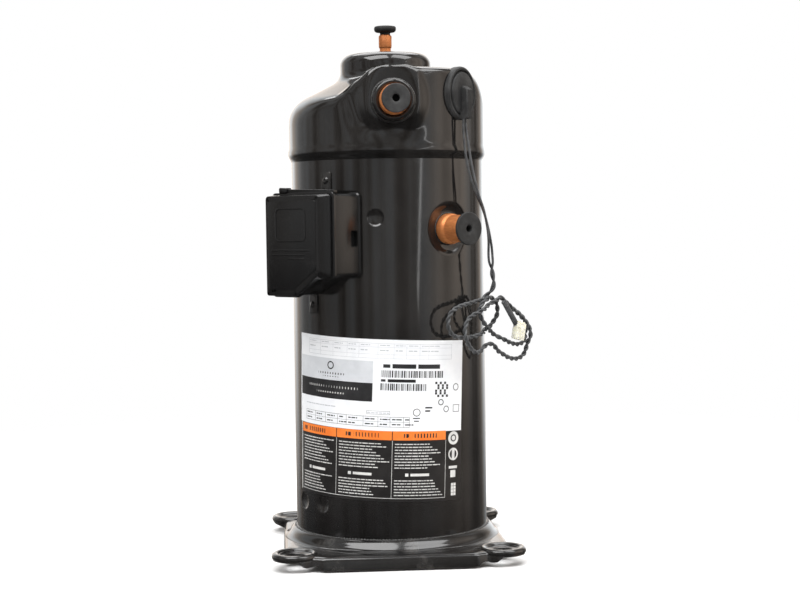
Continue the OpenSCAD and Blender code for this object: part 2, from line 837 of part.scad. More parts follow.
module thrust_plate() {
  color("#a8adb2") ring(thrust_out_r, cavity_r, thrust_z - thrust_t, thrust_z);
}

module lower_bearing_bracket() {
  bore = lower_journal_r + running_gap + bush_t;
  z0 = lower_bearing_z;
  color("#6f7377") difference() {
    union() {
      translate([0, 0, z0]) cylinder(r = bore + 6, h = lower_bearing_h);
      intersection() {
        union() for (a = [30, 150, 270]) rotate([0, 0, a]) translate([0, -9, z0 + 4]) cube([far, 18, 6]);
        cylinder(r = shell_in, h = far);
      }
      ring(shell_in, shell_in - 4, z0, z0 + 12);
    }
    translate([0, 0, z0 - overlap]) cylinder(r = bore, h = lower_bearing_h + 2 * overlap);
  }
}

module lower_bush() {
  color("#c08a4a") ring(lower_journal_r + running_gap + bush_t, lower_journal_r + running_gap,
    lower_bearing_z, lower_bearing_z + lower_bearing_h);
}

module stator_core() {
  color("#5a5e63") difference() {
    ring(shell_in, stator_bore_r, stack_z, stack_top_z);
    for (i = [0 : slots - 1]) rotate([0, 0, i * 360 / slots])
      translate([slot_in_r, -slot_w / 2, stack_z - overlap]) cube([slot_out_r - slot_in_r, slot_w, far]);
    for (a = [0 : 60 : 300]) rotate([0, 0, a])
      translate([shell_in, 0, stack_z - overlap]) cylinder(r = 4, h = far);
  }
}

module stator_winding() {
  color("#b06a35") union() {
    ring(winding_out_r, winding_in_r, stack_top_z, stack_top_z + winding_overhang);
    ring(winding_out_r, winding_in_r, stack_z - winding_overhang, stack_z);
    for (i = [0 : slots - 1]) rotate([0, 0, i * 360 / slots])
      translate([winding_in_r, -slot_w / 2 + 0.4, stack_z - overlap])
        cube([slot_out_r - winding_in_r - 0.4, slot_w - 0.8, stack_h + 2 * overlap]);
  }
}

module motor_protector() {
  color("#caa24a")
    translate([0, (winding_in_r + winding_out_r) / 2, stack_top_z + winding_overhang]) union() {
    translate([-12, -7, 0]) cube([24, 14, 6]);
    translate([0, 0, 6]) cylinder(r = 6, h = 3);
  }
}

module oil_magnet() {
  color("#2d2f31") ring(15, 6, plate_t + shell_wall, plate_t + shell_wall + 5);
}

module scroll_bolts() {
  head_z = fixed_plate_z + lift_travel + 0.3;
  color("#8e9398") for (a = bolt_azimuths) at_azimuth(a) translate([0, -bolt_circle_r, 0]) union() {
    translate([0, 0, thrust_z - 20]) cylinder(r = bolt_r, h = head_z + 4 - thrust_z + 20);
    translate([0, 0, thrust_z + 4]) cylinder(r = sleeve_r - 0.4, h = head_z - thrust_z - 4);
    translate([0, 0, head_z]) cylinder(r = bolt_head_r, h = 4);
  }
}

module crankshaft() {
  color("#b4b8bc") difference() {
    union() {
      translate([0, 0, shaft_foot_z]) cylinder(r = lower_journal_r, h = 40);
      translate([0, 0, lower_bearing_z + lower_bearing_h + 2])
        cylinder(r = shaft_r, h = main_journal_z - lower_bearing_z - lower_bearing_h - 2);
      translate([0, 0, main_journal_z]) cylinder(r = journal_r, h = cavity_z + 3 - main_journal_z);
      translate([orbit_r, 0, cavity_z]) cylinder(r = pin_eccentric_r, h = bushing_top_z - cavity_z);
    }
    translate([0, 0, shaft_foot_z - overlap]) cylinder(r = oil_bore_r, h = far * 2);
  }
}

module rotor_core() {
  color("#63676c") difference() {
    ring(rotor_r, shaft_r, stack_z - rotor_over, stack_top_z + rotor_over);
    for (i = [0 : 29]) rotate([0, 0, i * 12])
      translate([rotor_r - 5, 0, stack_z - 10]) cylinder(r = 2, h = far, $fn = 24);
  }
}

module rotor_end_rings() {
  color("#c3c7ca") union() {
    ring(rotor_r - 1, rotor_r - 15, stack_top_z + rotor_over, stack_top_z + rotor_over + end_ring_t);
    ring(rotor_r - 1, rotor_r - 15, stack_z - rotor_over - end_ring_t, stack_z - rotor_over);
    for (i = [0 : 29]) rotate([0, 0, i * 12]) translate([rotor_r - 5, 0, stack_z - rotor_over - overlap])
      cylinder(r = 2, h = stack_h + 2 * rotor_over + 2 * overlap, $fn = 24);
  }
}

// Half a ring, on the side towards (side = 1) or away from (side = -1) the crank pin
module half_weight(side, z0, z1) {
  intersection() {
    ring(weight_r, shaft_r, z0, z1);
    translate([side > 0 ? 0 : -far, -far, z0]) cube([far, 2 * far, z1 - z0]);
  }
}

module upper_counterweight() {
  z0 = stack_top_z + rotor_over + end_ring_t;
  color("#c9a24e") half_weight(-1, z0, z0 + weight_h);
}

module lower_counterweight() {
  z1 = stack_z - rotor_over - end_ring_t;
  color("#c9a24e") half_weight(1, z1 - weight_h + 3, z1);
}

module drive_bushing() {
  color("#8f959a") translate([orbit_r, 0, 0]) difference() {
    translate([0, 0, bushing_z]) cylinder(r = bushing_r, h = bushing_top_z - bushing_z - 1);
    translate([0, 0, bushing_z - overlap]) cylinder(r = pin_eccentric_r, h = far);
  }
}

module oil_pickup() {
  z0 = plate_t + shell_wall + 8;
  color("#9da2a6") difference() {
    union() {
      translate([0, 0, z0 + 8]) cylinder(r = 9, h = shaft_foot_z - z0 - 8);
      translate([0, 0, z0]) cylinder(r1 = 5, r2 = 9, h = 8);
    }
    translate([0, 0, z0 - overlap]) cylinder(r = oil_bore_r, h = far);
  }
}

// ---- Scroll set ----

// One involute wrap in plan
module wrap_plan() {
  start = 2.7;
  steps = 90;
  end = start + wrap_turns * 2 * PI;
  half = wrap_t / (2 * involute_a);
  polygon(concat(
    [for (i = [0 : steps]) involute(start + (end - start) * i / steps, half)],
    [for (i = [steps : -1 : 0]) involute(start + (end - start) * i / steps, -half)]));
}

module orbiting_scroll() {
  hub_z = bushing_z - 1;
  color("#9aa0a5") translate([orbit_r, 0, 0]) difference() {
    union() {
      translate([0, 0, orbit_plate_z]) cylinder(r = orbit_plate_r, h = orbit_plate_t);
      translate([0, 0, wrap_z]) linear_extrude(wrap_h) wrap_plan();
      translate([0, 0, hub_z]) cylinder(r = hub_out_r, h = orbit_plate_z - hub_z);
    }
    translate([0, 0, hub_z - overlap])
      cylinder(r = bushing_r + running_gap + bush_t, h = bushing_top_z + 1 - hub_z);
    for (y = [-1, 1]) translate([-key_w / 2 - 0.1, y * (ring_in_r + ring_out_r) / 2 - key_l / 2 - 0.1,
      orbit_plate_z - overlap]) cube([key_w + 0.2, key_l + 0.2, key_h]);
  }
}

module hub_bush() {
  color("#c08a4a") translate([orbit_r, 0, 0])
    ring(bushing_r + running_gap + bush_t, bushing_r + running_gap, bushing_z - 1, bushing_top_z);
}

module oldham_ring() {
  mid = (ring_in_r + ring_out_r) / 2;
  color("#aeb3b7") translate([orbit_r, 0, 0]) union() {
    ring(ring_out_r, ring_in_r, ring_z, ring_z + ring_t);
    for (y = [-1, 1]) translate([-key_w / 2, y * mid - key_l / 2, ring_z + ring_t - overlap])
      cube([key_w, key_l, orbit_plate_z + key_h - 1.5 - ring_z - ring_t + overlap]);
    for (x = [-1, 1]) translate([x * mid - key_l / 2, -key_w / 2, ring_z - 4])
      cube([key_l, key_w, 4 + overlap]);
  }
}

module fixed_scroll() {
  color("#858b90") difference() {
    union() {
      translate([0, 0, fixed_plate_z]) cylinder(r = fixed_in_r + 1, h = fixed_plate_t);
      translate([0, 0, thrust_z + 4.2]) cylinder(r = fixed_r, h = fixed_plate_z - thrust_z - 4.2);
      ring(rod_r + 8, port_r, fixed_top_z - overlap, fixed_top_z + 4);
      ring(seal_out_r + 6, seal_out_r + 0.2, fixed_top_z - overlap, fixed_top_z + 3.5);
    }
    difference() {
      translate([0, 0, thrust_z]) cylinder(r = fixed_in_r, h = fixed_plate_z - thrust_z);
      translate([0, 0, wrap_z + plate_gap]) linear_extrude(wrap_h) rotate([0, 0, 180]) wrap_plan();
    }
    translate([0, 0, fixed_plate_z - overlap]) cylinder(r = port_r, h = 30);
    translate([0, 0, fixed_top_z + 2]) cylinder(r = rod_r, h = 20);
    for (a = bolt_azimuths) at_azimuth(a) translate([0, -bolt_circle_r, thrust_z]) {
      cylinder(r = sleeve_r, h = 60);
      translate([0, 0, fixed_plate_z - thrust_z]) cylinder(r = bolt_head_r + 1, h = 60);
    }
    outward(suction_azimuth, suction_z) translate([0, 34, 60]) cylinder(r = 10, h = 40);
  }
}

module floating_seal() {
  color("#4a4d50") ring(seal_out_r, seal_in_r, fixed_top_z, fixed_top_z + seal_h);
}

module lift_piston() {
  z0 = fixed_top_z + 2;
  color("#a4a9ad") difference() {
    union() {
      translate([0, 0, z0]) cylinder(r = rod_r, h = piston_z + 1 - z0);
      translate([0, 0, piston_z]) cylinder(r = piston_r, h = piston_t);
    }
    translate([0, 0, z0 - overlap]) cylinder(r = rod_bore_r, h = piston_z - z0 - 4);
    for (a = [0, 60, 120]) rotate([0, 90, a])
      translate([-(partition_top_z + 18), 0, -20]) cylinder(r = 3, h = 40);
    ring(piston_r + 2, piston_r - 2.5, piston_z + 6, piston_z + 9);
    ring(spring_r + 2, spring_r - 2, piston_z + piston_t - 1, piston_z + piston_t + 2);
  }
}

module piston_seal() {
  color("#303234") ring(piston_r, piston_r - 2.5, piston_z + 6, piston_z + 9);
}

module piston_spring() {
  z0 = piston_z + piston_t - 1 + spring_wire_r;
  z1 = cylinder_top_z - 2 - spring_wire_r;
  n = spring_turns * spring_steps;
  color("#9da1a5") sweep([for (i = [0 : n]) [spring_r * cos(360 * i / spring_steps),
    spring_r * sin(360 * i / spring_steps), z0 + (z1 - z0) * i / n]], spring_wire_r, spring_sides);
}

base_plate();
lower_shell();
centre_shell();
top_cap();
partition_plate();
piston_cylinder();
suction_pad();
suction_stub();
suction_baffle();
discharge_boss();
discharge_stub();
valve_guard();
unloader_stub();
thermistor_cover();
thermistor_probe();
terminal_box();
terminal_plate();
terminal_pins();
pin_glass();
terminal_block();
ground_screw();
upper_bracket();
lower_bracket();
bracket_screws();
upper_label();
lower_label();
bearing_housing();
main_bush();
thrust_plate();
lower_bearing_bracket();
lower_bush();
stator_core();
stator_winding();
motor_protector();
oil_magnet();
scroll_bolts();
crankshaft();
rotor_core();
rotor_end_rings();
upper_counterweight();
lower_counterweight();
drive_bushing();
oil_pickup();
orbiting_scroll();
hub_bush();
oldham_ring();
fixed_scroll();
floating_seal();
lift_piston();
piston_seal();
piston_spring();
valve_disc();
terminal_cover();
suction_plug();
discharge_plug();
unloader_cap();
thermistor_lead();
thermistor_coil();
lead_sleeve();
thermistor_connector();
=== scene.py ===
"""Looks of a vertical scroll compressor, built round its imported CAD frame.

Lengths are in millimetres until a mesh is made. An azimuth is in degrees from the front (-Y) towards +X,
and `outward` stands a small frame on the shell: X along it, Y up, Z away from the axis.
"""

import json
import math

import bmesh
import bpy
from mathutils import Matrix, Vector, kdtree


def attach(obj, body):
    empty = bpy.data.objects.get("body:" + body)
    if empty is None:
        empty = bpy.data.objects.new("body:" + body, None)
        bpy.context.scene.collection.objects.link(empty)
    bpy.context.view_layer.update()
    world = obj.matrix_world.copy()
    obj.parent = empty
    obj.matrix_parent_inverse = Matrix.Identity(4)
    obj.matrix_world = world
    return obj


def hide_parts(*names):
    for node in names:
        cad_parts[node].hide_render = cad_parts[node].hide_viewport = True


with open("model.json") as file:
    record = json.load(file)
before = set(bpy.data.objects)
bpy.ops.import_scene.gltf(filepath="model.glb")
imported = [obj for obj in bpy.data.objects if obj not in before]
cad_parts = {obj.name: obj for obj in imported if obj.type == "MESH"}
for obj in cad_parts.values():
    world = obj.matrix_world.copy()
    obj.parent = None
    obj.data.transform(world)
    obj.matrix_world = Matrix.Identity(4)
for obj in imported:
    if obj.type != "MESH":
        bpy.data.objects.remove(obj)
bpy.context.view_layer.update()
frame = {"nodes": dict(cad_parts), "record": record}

MM = 0.001
SHELL_R = 92.5
CAP_R = 94.5
BOX_AZIMUTH = -44
BOX_FOOT = 240
UPPER_BRACKET = (-41, 345)
LOWER_BRACKET = (-52.8, 230)
SUCTION = (34.5, 299)
DISCHARGE = (0, 416)
THERMISTOR = (42.5, 424)
TURRET_TOP = 467
COIL_AZIMUTH = 40
COIL_NEAR = 104
PAD_R = 26
PAD_FLOOR = 88.9
SUCTION_BORE_R = 11.15
DISCHARGE_BORE_R = 9.6


def stand(name, data):
    """An object that holds some data, put into the scene."""
    made = bpy.data.objects.new(name, data)
    bpy.context.scene.collection.objects.link(made)
    return made


# ---- Camera ----

def stand_camera():
    """The viewing angle: a little to the left of the front, just below the middle of the shell."""
    data = bpy.data.cameras.new("viewpoint")
    data.lens = 71.69
    data.sensor_width = 36
    camera = stand("viewpoint", data)
    turn = (Matrix.Rotation(math.radians(-4.33), 4, "Z") @ Matrix.Rotation(math.radians(-2.75), 4, "X")
            @ Matrix.Rotation(math.radians(0.80), 4, "Y") @ Matrix.Rotation(math.radians(90), 4, "X"))
    camera.matrix_world = Matrix.Translation((-0.1060, -1.5434, 0.3045)) @ turn
    bpy.context.scene.camera = camera


stand_camera()


# ---- Finishes ----

class Value:
    """A socket of a shader tree that takes part in sums: each operator adds one Math node."""

    def __init__(self, finish, socket):
        self.finish = finish
        self.socket = socket

    def sum(self, operation, *terms):
        inputs = dict(enumerate(terms))
        return self.finish.node("ShaderNodeMath", {"operation": operation}, inputs)

    def __add__(self, other):
        return self.sum("ADD", self, other)

    def __radd__(self, other):
        return self.sum("ADD", other, self)

    def __sub__(self, other):
        return self.sum("SUBTRACT", self, other)

    def __rsub__(self, other):
        return self.sum("SUBTRACT", other, self)

    def __mul__(self, other):
        return self.sum("MULTIPLY", self, other)

    def __rmul__(self, other):
        return self.sum("MULTIPLY", other, self)

    def __pow__(self, other):
        return self.sum("POWER", self, other)

    def limit(self, low, high):
        """0 below low, 1 above high and smooth between them."""
        return self.finish.node("ShaderNodeMapRange", {"interpolation_type": "SMOOTHSTEP"},
                                {"Value": self, "From Min": low, "From Max": high})


class Shading:
    """The nodes of one material or of the sky."""

    def __init__(self, owner, coordinates="Object"):
        owner.use_nodes = True
        self.tree = owner.node_tree
        self.tree.nodes.clear()
        self.place = self.node("ShaderNodeTexCoord", output=coordinates)

    def node(self, kind, settings=None, inputs=None, output=0):
        """Add a node: its settings first, then the values or links of its sockets."""
        made = self.tree.nodes.new(kind)
        for key, value in (settings or {}).items():
            if key == "stops":
                for stop, (position, colour) in zip(self.ramp_stops(made, len(value)), value):
                    stop.position = position
                    stop.color = colour
            else:
                setattr(made, key, value)
        for key, value in (inputs or {}).items():
            self.feed(made.inputs[key], value)
        return Value(self, made.outputs[output])

    def ramp_stops(self, ramp, count):
        stops = ramp.color_ramp.elements
        while len(stops) < count:
            stops.new(1)
        return stops

    def feed(self, socket, value):
        if isinstance(value, Value):
            self.tree.links.new(value.socket, socket)
        else:
            socket.default_value = value

    def stretched(self, scale, turn=(0, 0, 0)):
        """Object coordinates, with each axis scaled by a given factor."""
        return self.node("ShaderNodeMapping", {}, {"Vector": self.place, "Scale": scale, "Rotation": turn})

    def noise(self, scale, detail=3, roughness=0.5, place=None, distortion=0):
        return self.node("ShaderNodeTexNoise", {}, {
            "Vector": place or self.place, "Scale": scale, "Detail": detail, "Roughness": roughness,
            "Distortion": distortion})

    def cells(self, scale, feature="F1", place=None):
        return self.node("ShaderNodeTexVoronoi", {"feature": feature},
                         {"Vector": place or self.place, "Scale": scale}, output="Distance")

    def part(self, axis):
        """One coordinate of a point, in metres: X, Y or Z."""
        return self.node("ShaderNodeSeparateXYZ", {}, {"Vector": self.place}, output=axis)

    def blend(self, amount, low, high):
        """A colour between two colours, by an amount from 0 to 1."""
        return self.node("ShaderNodeMix", {"data_type": "RGBA"},
                         {0: amount, 6: low, 7: high}, output=2)


class Finish(Shading):
    """One procedural material. Constants go straight onto the shader's sockets."""

    def __init__(self, name, **constants):
        self.material = bpy.data.materials.new(name)
        super().__init__(self.material)
        self.shader = self.tree.nodes.new("ShaderNodeBsdfPrincipled")
        output = self.tree.nodes.new("ShaderNodeOutputMaterial")
        self.tree.links.new(self.shader.outputs["BSDF"], output.inputs["Surface"])
        for key, value in constants.items():
            self.shader.inputs[key.replace("_", " ")].default_value = value

    def colour(self, value):
        self.feed(self.shader.inputs["Base Color"], value)

    def rough(self, value):
        self.feed(self.shader.inputs["Roughness"], value)

    def bump(self, value, depth, strength=1.0):
        """Relief of a depth in millimetres on the shader's normal."""
        lifted = self.node("ShaderNodeBump", {}, {"Height": value, "Distance": depth * MM, "Strength": strength},
                           output="Normal")
        self.feed(self.shader.inputs["Normal"], lifted)


def rgb(red, green, blue):
    return (red, green, blue, 1)


def gloss_enamel(name, shine, dust):
    """Black enamel, sprayed over steel: soft waves, a fine orange peel, dust and faint runs."""
    paint = Finish(name, Coat_Weight=0.35, Coat_Roughness=0.06, Specular_IOR_Level=0.5)
    film = paint.noise(14, 4, 0.6)
    specks = paint.noise(900, 2, 0.6).limit(0.68, 0.78)
    runs = paint.noise(6, 3, 0.55, paint.stretched((9, 9, 0.7))).limit(0.5, 0.85)
    settled = paint.noise(38, 5, 0.65).limit(0.48, 0.8)
    shade = paint.blend(film.limit(0.3, 0.75), rgb(0.0075, 0.0072, 0.0072), rgb(0.0165, 0.0155, 0.015))
    paint.colour(paint.blend((specks * 0.35 + settled * dust).limit(0, 1), shade, rgb(0.07, 0.066, 0.062)))
    paint.rough(shine + settled * 0.09 + runs * 0.05 + specks * 0.2)
    peel = paint.noise(420, 2, 0.5) * 0.25 + paint.noise(42, 2, 0.45) * 0.75
    paint.bump(peel, 0.10, 0.55)
    return paint.material


def weld_enamel():
    """The same enamel, lying thick and uneven over a weld."""
    paint = Finish("enamel_over_weld", Coat_Weight=0.4, Coat_Roughness=0.08)
    lumps = paint.noise(230, 4, 0.6)
    paint.colour(paint.blend(lumps.limit(0.35, 0.8), rgb(0.009, 0.009, 0.009), rgb(0.03, 0.028, 0.026)))
    paint.rough(0.2 + lumps * 0.18)
    paint.bump(lumps, 0.5, 0.6)
    return paint.material


def moulded_black():
    """Satin moulded plastic with a fine spark-eroded grain and scuffs."""
    plastic = Finish("moulded_black", Specular_IOR_Level=0.5)
    grain = plastic.noise(1500, 3, 0.6)
    scuffs = plastic.noise(20, 5, 0.7, plastic.stretched((1, 1, 3.4), (0.4, 0.2, 0))).limit(0.55, 0.8)
    plastic.colour(plastic.blend(scuffs, rgb(0.0075, 0.0075, 0.0078), rgb(0.022, 0.021, 0.021)))
    plastic.rough(0.15 + grain * 0.10 + scuffs * 0.16)
    plastic.bump(grain * 0.6 + plastic.noise(60, 2) * 0.4, 0.05, 0.6)
    return plastic.material


def matt_rubber():
    """Moulded rubber with bloom on it."""
    rubber = Finish("black_rubber", Specular_IOR_Level=0.35)
    bloom = rubber.noise(70, 5, 0.65)
    rubber.colour(rubber.blend(bloom.limit(0.35, 0.8), rgb(0.021, 0.0215, 0.022), rgb(0.058, 0.058, 0.058)))
    rubber.rough(0.52 + bloom * 0.22)
    rubber.bump(rubber.noise(1300, 3, 0.6) * 0.5 + bloom * 0.5, 0.07, 0.5)
    return rubber.material


def drawn_copper():
    """Copper tube: a satin, draw lines round it, and tarnish in patches."""
    copper = Finish("copper", Metallic=0.55)
    tarnish = copper.noise(55, 4, 0.6).limit(0.45, 0.85)
    lines = copper.noise(160, 3, 0.6, copper.stretched((1, 1, 5)))
    fresh = copper.blend(lines.limit(0.3, 0.7), rgb(0.60, 0.20, 0.062), rgb(0.72, 0.27, 0.09))
    copper.colour(copper.blend(tarnish * 0.6, fresh, rgb(0.34, 0.12, 0.05)))
    copper.rough(0.42 + tarnish * 0.2 + lines * 0.06)
    copper.bump(lines, 0.06, 0.5)
    return copper.material


def lead_sheath():
    """Dark grey flexible sheath, slightly waxy."""
    sheath = Finish("lead_sheath", Specular_IOR_Level=0.45)
    wax = sheath.noise(120, 4, 0.6)
    sheath.colour(sheath.blend(wax.limit(0.3, 0.75), rgb(0.045, 0.047, 0.050), rgb(0.105, 0.109, 0.114)))
    sheath.rough(0.34 + wax * 0.2)
    sheath.bump(sheath.noise(1800, 2), 0.03, 0.5)
    return sheath.material


def ivory_nylon():
    """Moulded nylon, slightly yellowed and dirty in patches."""
    nylon = Finish("ivory_nylon", Subsurface_Weight=0.15)
    nylon.shader.inputs["Subsurface Radius"].default_value = (0.002, 0.002, 0.001)
    stain = nylon.noise(70, 3, 0.5)
    nylon.colour(nylon.blend(stain.limit(0.45, 0.85), rgb(0.80, 0.79, 0.68), rgb(0.66, 0.63, 0.50)))
    nylon.rough(0.32 + stain * 0.15)
    nylon.bump(stain, 0.06, 0.5)
    return nylon.material


def printed_film(name, low, high, shine):
    """Label film or the ink on it, with a slight unevenness and a satin face."""
    film = Finish(name, Specular_IOR_Level=0.4)
    mottle = film.noise(48, 4, 0.6)
    film.colour(film.blend(mottle.limit(0.3, 0.75), low, high))
    film.rough(shine + mottle * 0.12)
    film.bump(film.noise(700, 2) * 0.4 + film.noise(26, 2) * 0.6, 0.05, 0.4)
    return film.material


def bare_metal(name, low, high, shine, grain, metal=1.0, relief=0.05, stretch=(1, 1, 1)):
    """Machined, cast or stacked metal: grain of one scale, and stains of a larger one."""
    bare = Finish(name, Metallic=metal)
    texture = bare.noise(grain, 4, 0.6, bare.stretched(stretch))
    stains = bare.noise(35, 4, 0.6)
    bare.colour(bare.blend(texture * 0.6 + stains * 0.4, low, high))
    bare.rough(shine + texture * 0.14 + stains.limit(0.4, 0.8) * 0.12)
    bare.bump(texture, relief, 0.6)
    return bare.material


def laminations():
    """Thin steel sheets, one on another."""
    stack = Finish("lamination_steel", Metallic=0.9)
    sheets = stack.node("ShaderNodeTexWave", {"bands_direction": "Z"},
                        {"Vector": stack.place, "Scale": 320, "Distortion": 0.3}, output="Fac")
    stack.colour(stack.blend(sheets, rgb(0.10, 0.105, 0.11), rgb(0.36, 0.37, 0.38)))
    stack.rough(0.4 + sheets * 0.15)
    stack.bump(sheets, 0.12, 0.6)
    return stack.material


def varnished_winding():
    """Copper wire under varnish."""
    winding = Finish("winding_copper", Metallic=0.6, Coat_Weight=0.5)
    wires = winding.node("ShaderNodeTexWave", {"bands_direction": "DIAGONAL"},
                         {"Vector": winding.place, "Scale": 260, "Distortion": 2.5, "Detail": 2}, output="Fac")
    winding.colour(winding.blend(wires, rgb(0.20, 0.055, 0.015), rgb(0.62, 0.24, 0.07)))
    winding.rough(0.3 + wires * 0.15)
    winding.bump(wires, 0.5, 0.7)
    return winding.material


def seal_glass():
    glass = Finish("seal_glass", Coat_Weight=0.6)
    bubbles = glass.cells(900)
    glass.colour(glass.blend(bubbles, rgb(0.03, 0.10, 0.07), rgb(0.08, 0.22, 0.16)))
    glass.rough(0.12 + bubbles * 0.1)
    glass.bump(bubbles, 0.05, 0.3)
    return glass.material


ENAMEL = gloss_enamel("black_enamel", 0.10, 0.25)
BASE_ENAMEL = gloss_enamel("base_enamel", 0.14, 0.75)
BRACKET = gloss_enamel("bracket_steel", 0.22, 0.9)
WELD = weld_enamel()
PLASTIC = moulded_black()
RUBBER = matt_rubber()
COPPER = drawn_copper()
SHEATH = lead_sheath()
NYLON = ivory_nylon()
WHITE_FILM = printed_film("label_film", rgb(0.78, 0.80, 0.83), rgb(0.86, 0.87, 0.89), 0.34)
DARK_FILM = printed_film("dark_label_film", rgb(0.012, 0.011, 0.011), rgb(0.022, 0.020, 0.020), 0.30)
BLACK_INK = printed_film("black_ink", rgb(0.012, 0.012, 0.013), rgb(0.03, 0.03, 0.032), 0.36)
GREY_INK = printed_film("grey_ink", rgb(0.40, 0.42, 0.45), rgb(0.52, 0.54, 0.57), 0.38)
PALE_INK = printed_film("pale_ink", rgb(0.55, 0.57, 0.60), rgb(0.66, 0.68, 0.71), 0.38)
WHITE_INK = printed_film("white_ink", rgb(0.55, 0.55, 0.54), rgb(0.75, 0.75, 0.73), 0.36)
ORANGE_INK = printed_film("orange_ink", rgb(0.78, 0.17, 0.02), rgb(0.88, 0.24, 0.035), 0.34)
IRON = bare_metal("cast_iron", rgb(0.10, 0.10, 0.105), rgb(0.24, 0.24, 0.245), 0.5, 260, 0.85, 0.25)
STEEL = bare_metal("machined_steel", rgb(0.40, 0.41, 0.42), rgb(0.62, 0.63, 0.64), 0.24, 420, 1, 0.04, (1, 1, 6))
ZINC = bare_metal("zinc_steel", rgb(0.52, 0.52, 0.48), rgb(0.76, 0.75, 0.70), 0.26, 330)
BRONZE = bare_metal("bearing_bronze", rgb(0.42, 0.26, 0.10), rgb(0.66, 0.46, 0.22), 0.36, 600)
ALUMINIUM = bare_metal("cast_aluminium", rgb(0.60, 0.61, 0.62), rgb(0.78, 0.79, 0.80), 0.38, 300, 1, 0.12)
BRASS = bare_metal("yellow_brass", rgb(0.52, 0.36, 0.12), rgb(0.76, 0.58, 0.26), 0.3, 350)
LAMINATIONS = laminations()
WINDING = varnished_winding()
GLASS = seal_glass()

SLOT_FINISH = {
    "black_enamel": ENAMEL, "bracket_steel": BRACKET, "black_rubber": RUBBER, "copper": COPPER,
    "moulded_black": PLASTIC, "lead_sheath": SHEATH, "ivory_nylon": NYLON, "label_film": WHITE_FILM,
    "dark_label_film": DARK_FILM, "cast_iron": IRON, "machined_steel": STEEL, "bearing_bronze": BRONZE,
    "lamination_steel": LAMINATIONS, "winding_copper": WINDING, "cast_aluminium": ALUMINIUM,
    "yellow_brass": BRASS, "zinc_steel": ZINC, "seal_glass": GLASS}


def dress_cad_nodes():
    """Give each CAD node that stays in sight the finish of its slot in the record."""
    for part in frame["record"]["subparts"]:
        mesh = frame["nodes"][part["node"]].data
        mesh.materials.clear()
        mesh.materials.append(SLOT_FINISH[part["material_slot"]])


dress_cad_nodes()


# ---- Forms ----

def outward(azimuth, height):
    """The frame that stands on the shell at an azimuth and a height."""
    return (Matrix.Rotation(math.radians(azimuth), 4, "Z") @ Matrix.Translation((0, 0, height))
            @ Matrix.Rotation(math.radians(90), 4, "X"))


def polar(azimuth, radius, height):
    """A point by its azimuth, its distance from the axis and its height."""
    turn = math.radians(azimuth)
    return Vector((radius * math.sin(turn), -radius * math.cos(turn), height))


def smoothstep(low, high, x):
    t = min(max((x - low) / (high - low), 0), 1)
    return t * t * (3 - 2 * t)


def along_stops(x, stops):
    """A value that runs smoothly through (x, value) stops and never beyond them."""
    runs = [(b[1] - a[1]) / (b[0] - a[0]) for a, b in zip(stops, stops[1:])]

    def lean(i):
        if i in (0, len(runs)) or runs[i - 1] * runs[i] <= 0:
            return 0
        return 2 * runs[i - 1] * runs[i] / (runs[i - 1] + runs[i])

    i = 0
    while i < len(runs) - 1 and x > stops[i + 1][0]:
        i += 1
    (x0, v0), (x1, v1) = stops[i], stops[i + 1]
    t = min(max((x - x0) / (x1 - x0), 0), 1)
    away = (x1 - x0) * (lean(i) * t * (1 - t) ** 2 - lean(i + 1) * t * t * (1 - t))
    return v0 + (v1 - v0) * t * t * (3 - 2 * t) + away


def bow(start, middle, end, count, first=0):
    """Points along a curve that leaves start and reaches end towards the same middle."""
    return [start * (1 - t) ** 2 + middle * (2 * t * (1 - t)) + end * t ** 2
            for t in (k / count for k in range(first, count + 1))]


def rounded(points, radius, steps=5, closed=False):
    """Plane points with their corners rounded. A point may hold its own radius as a third number."""
    made = []
    count = len(points)
    for i, point in enumerate(points):
        here = Vector(point[:2])
        reach = point[2] if len(point) > 2 else radius
        if reach == 0 or (not closed and i in (0, count - 1)):
            made.append(here)
            continue
        before = Vector(points[i - 1][:2]) - here
        after = Vector(points[(i + 1) % count][:2]) - here
        half = before.angle(after) / 2
        back = min(reach / math.tan(half), before.length * 0.49, after.length * 0.49)
        made += bow(here + before.normalized() * back, here, here + after.normalized() * back, steps)
    return made


def oblong(x0, y0, x1, y1, radius, steps):
    """A rectangle with rounded corners."""
    return rounded([(x0, y0), (x1, y0), (x1, y1), (x0, y1)], radius, steps, True)


def inset(outline, distance):
    """A closed plane outline, turning left, with each side moved inwards."""
    made = []
    count = len(outline)
    for i, here in enumerate(outline):
        before = (here - outline[i - 1]).normalized()
        after = (outline[(i + 1) % count] - here).normalized()
        normal = Vector((-before.y - after.y, before.x + after.x))
        normal /= max(normal.length_squared / 2, 0.4)
        made.append(here + normal * distance)
    return made


def ring_at(outline, height):
    return [Vector((p.x, p.y, height)) for p in outline]


def circle(radius, count=64, centre=(0, 0), start=0):
    return [Vector((centre[0] + radius * math.cos(start + math.tau * i / count),
                    centre[1] + radius * math.sin(start + math.tau * i / count))) for i in range(count)]


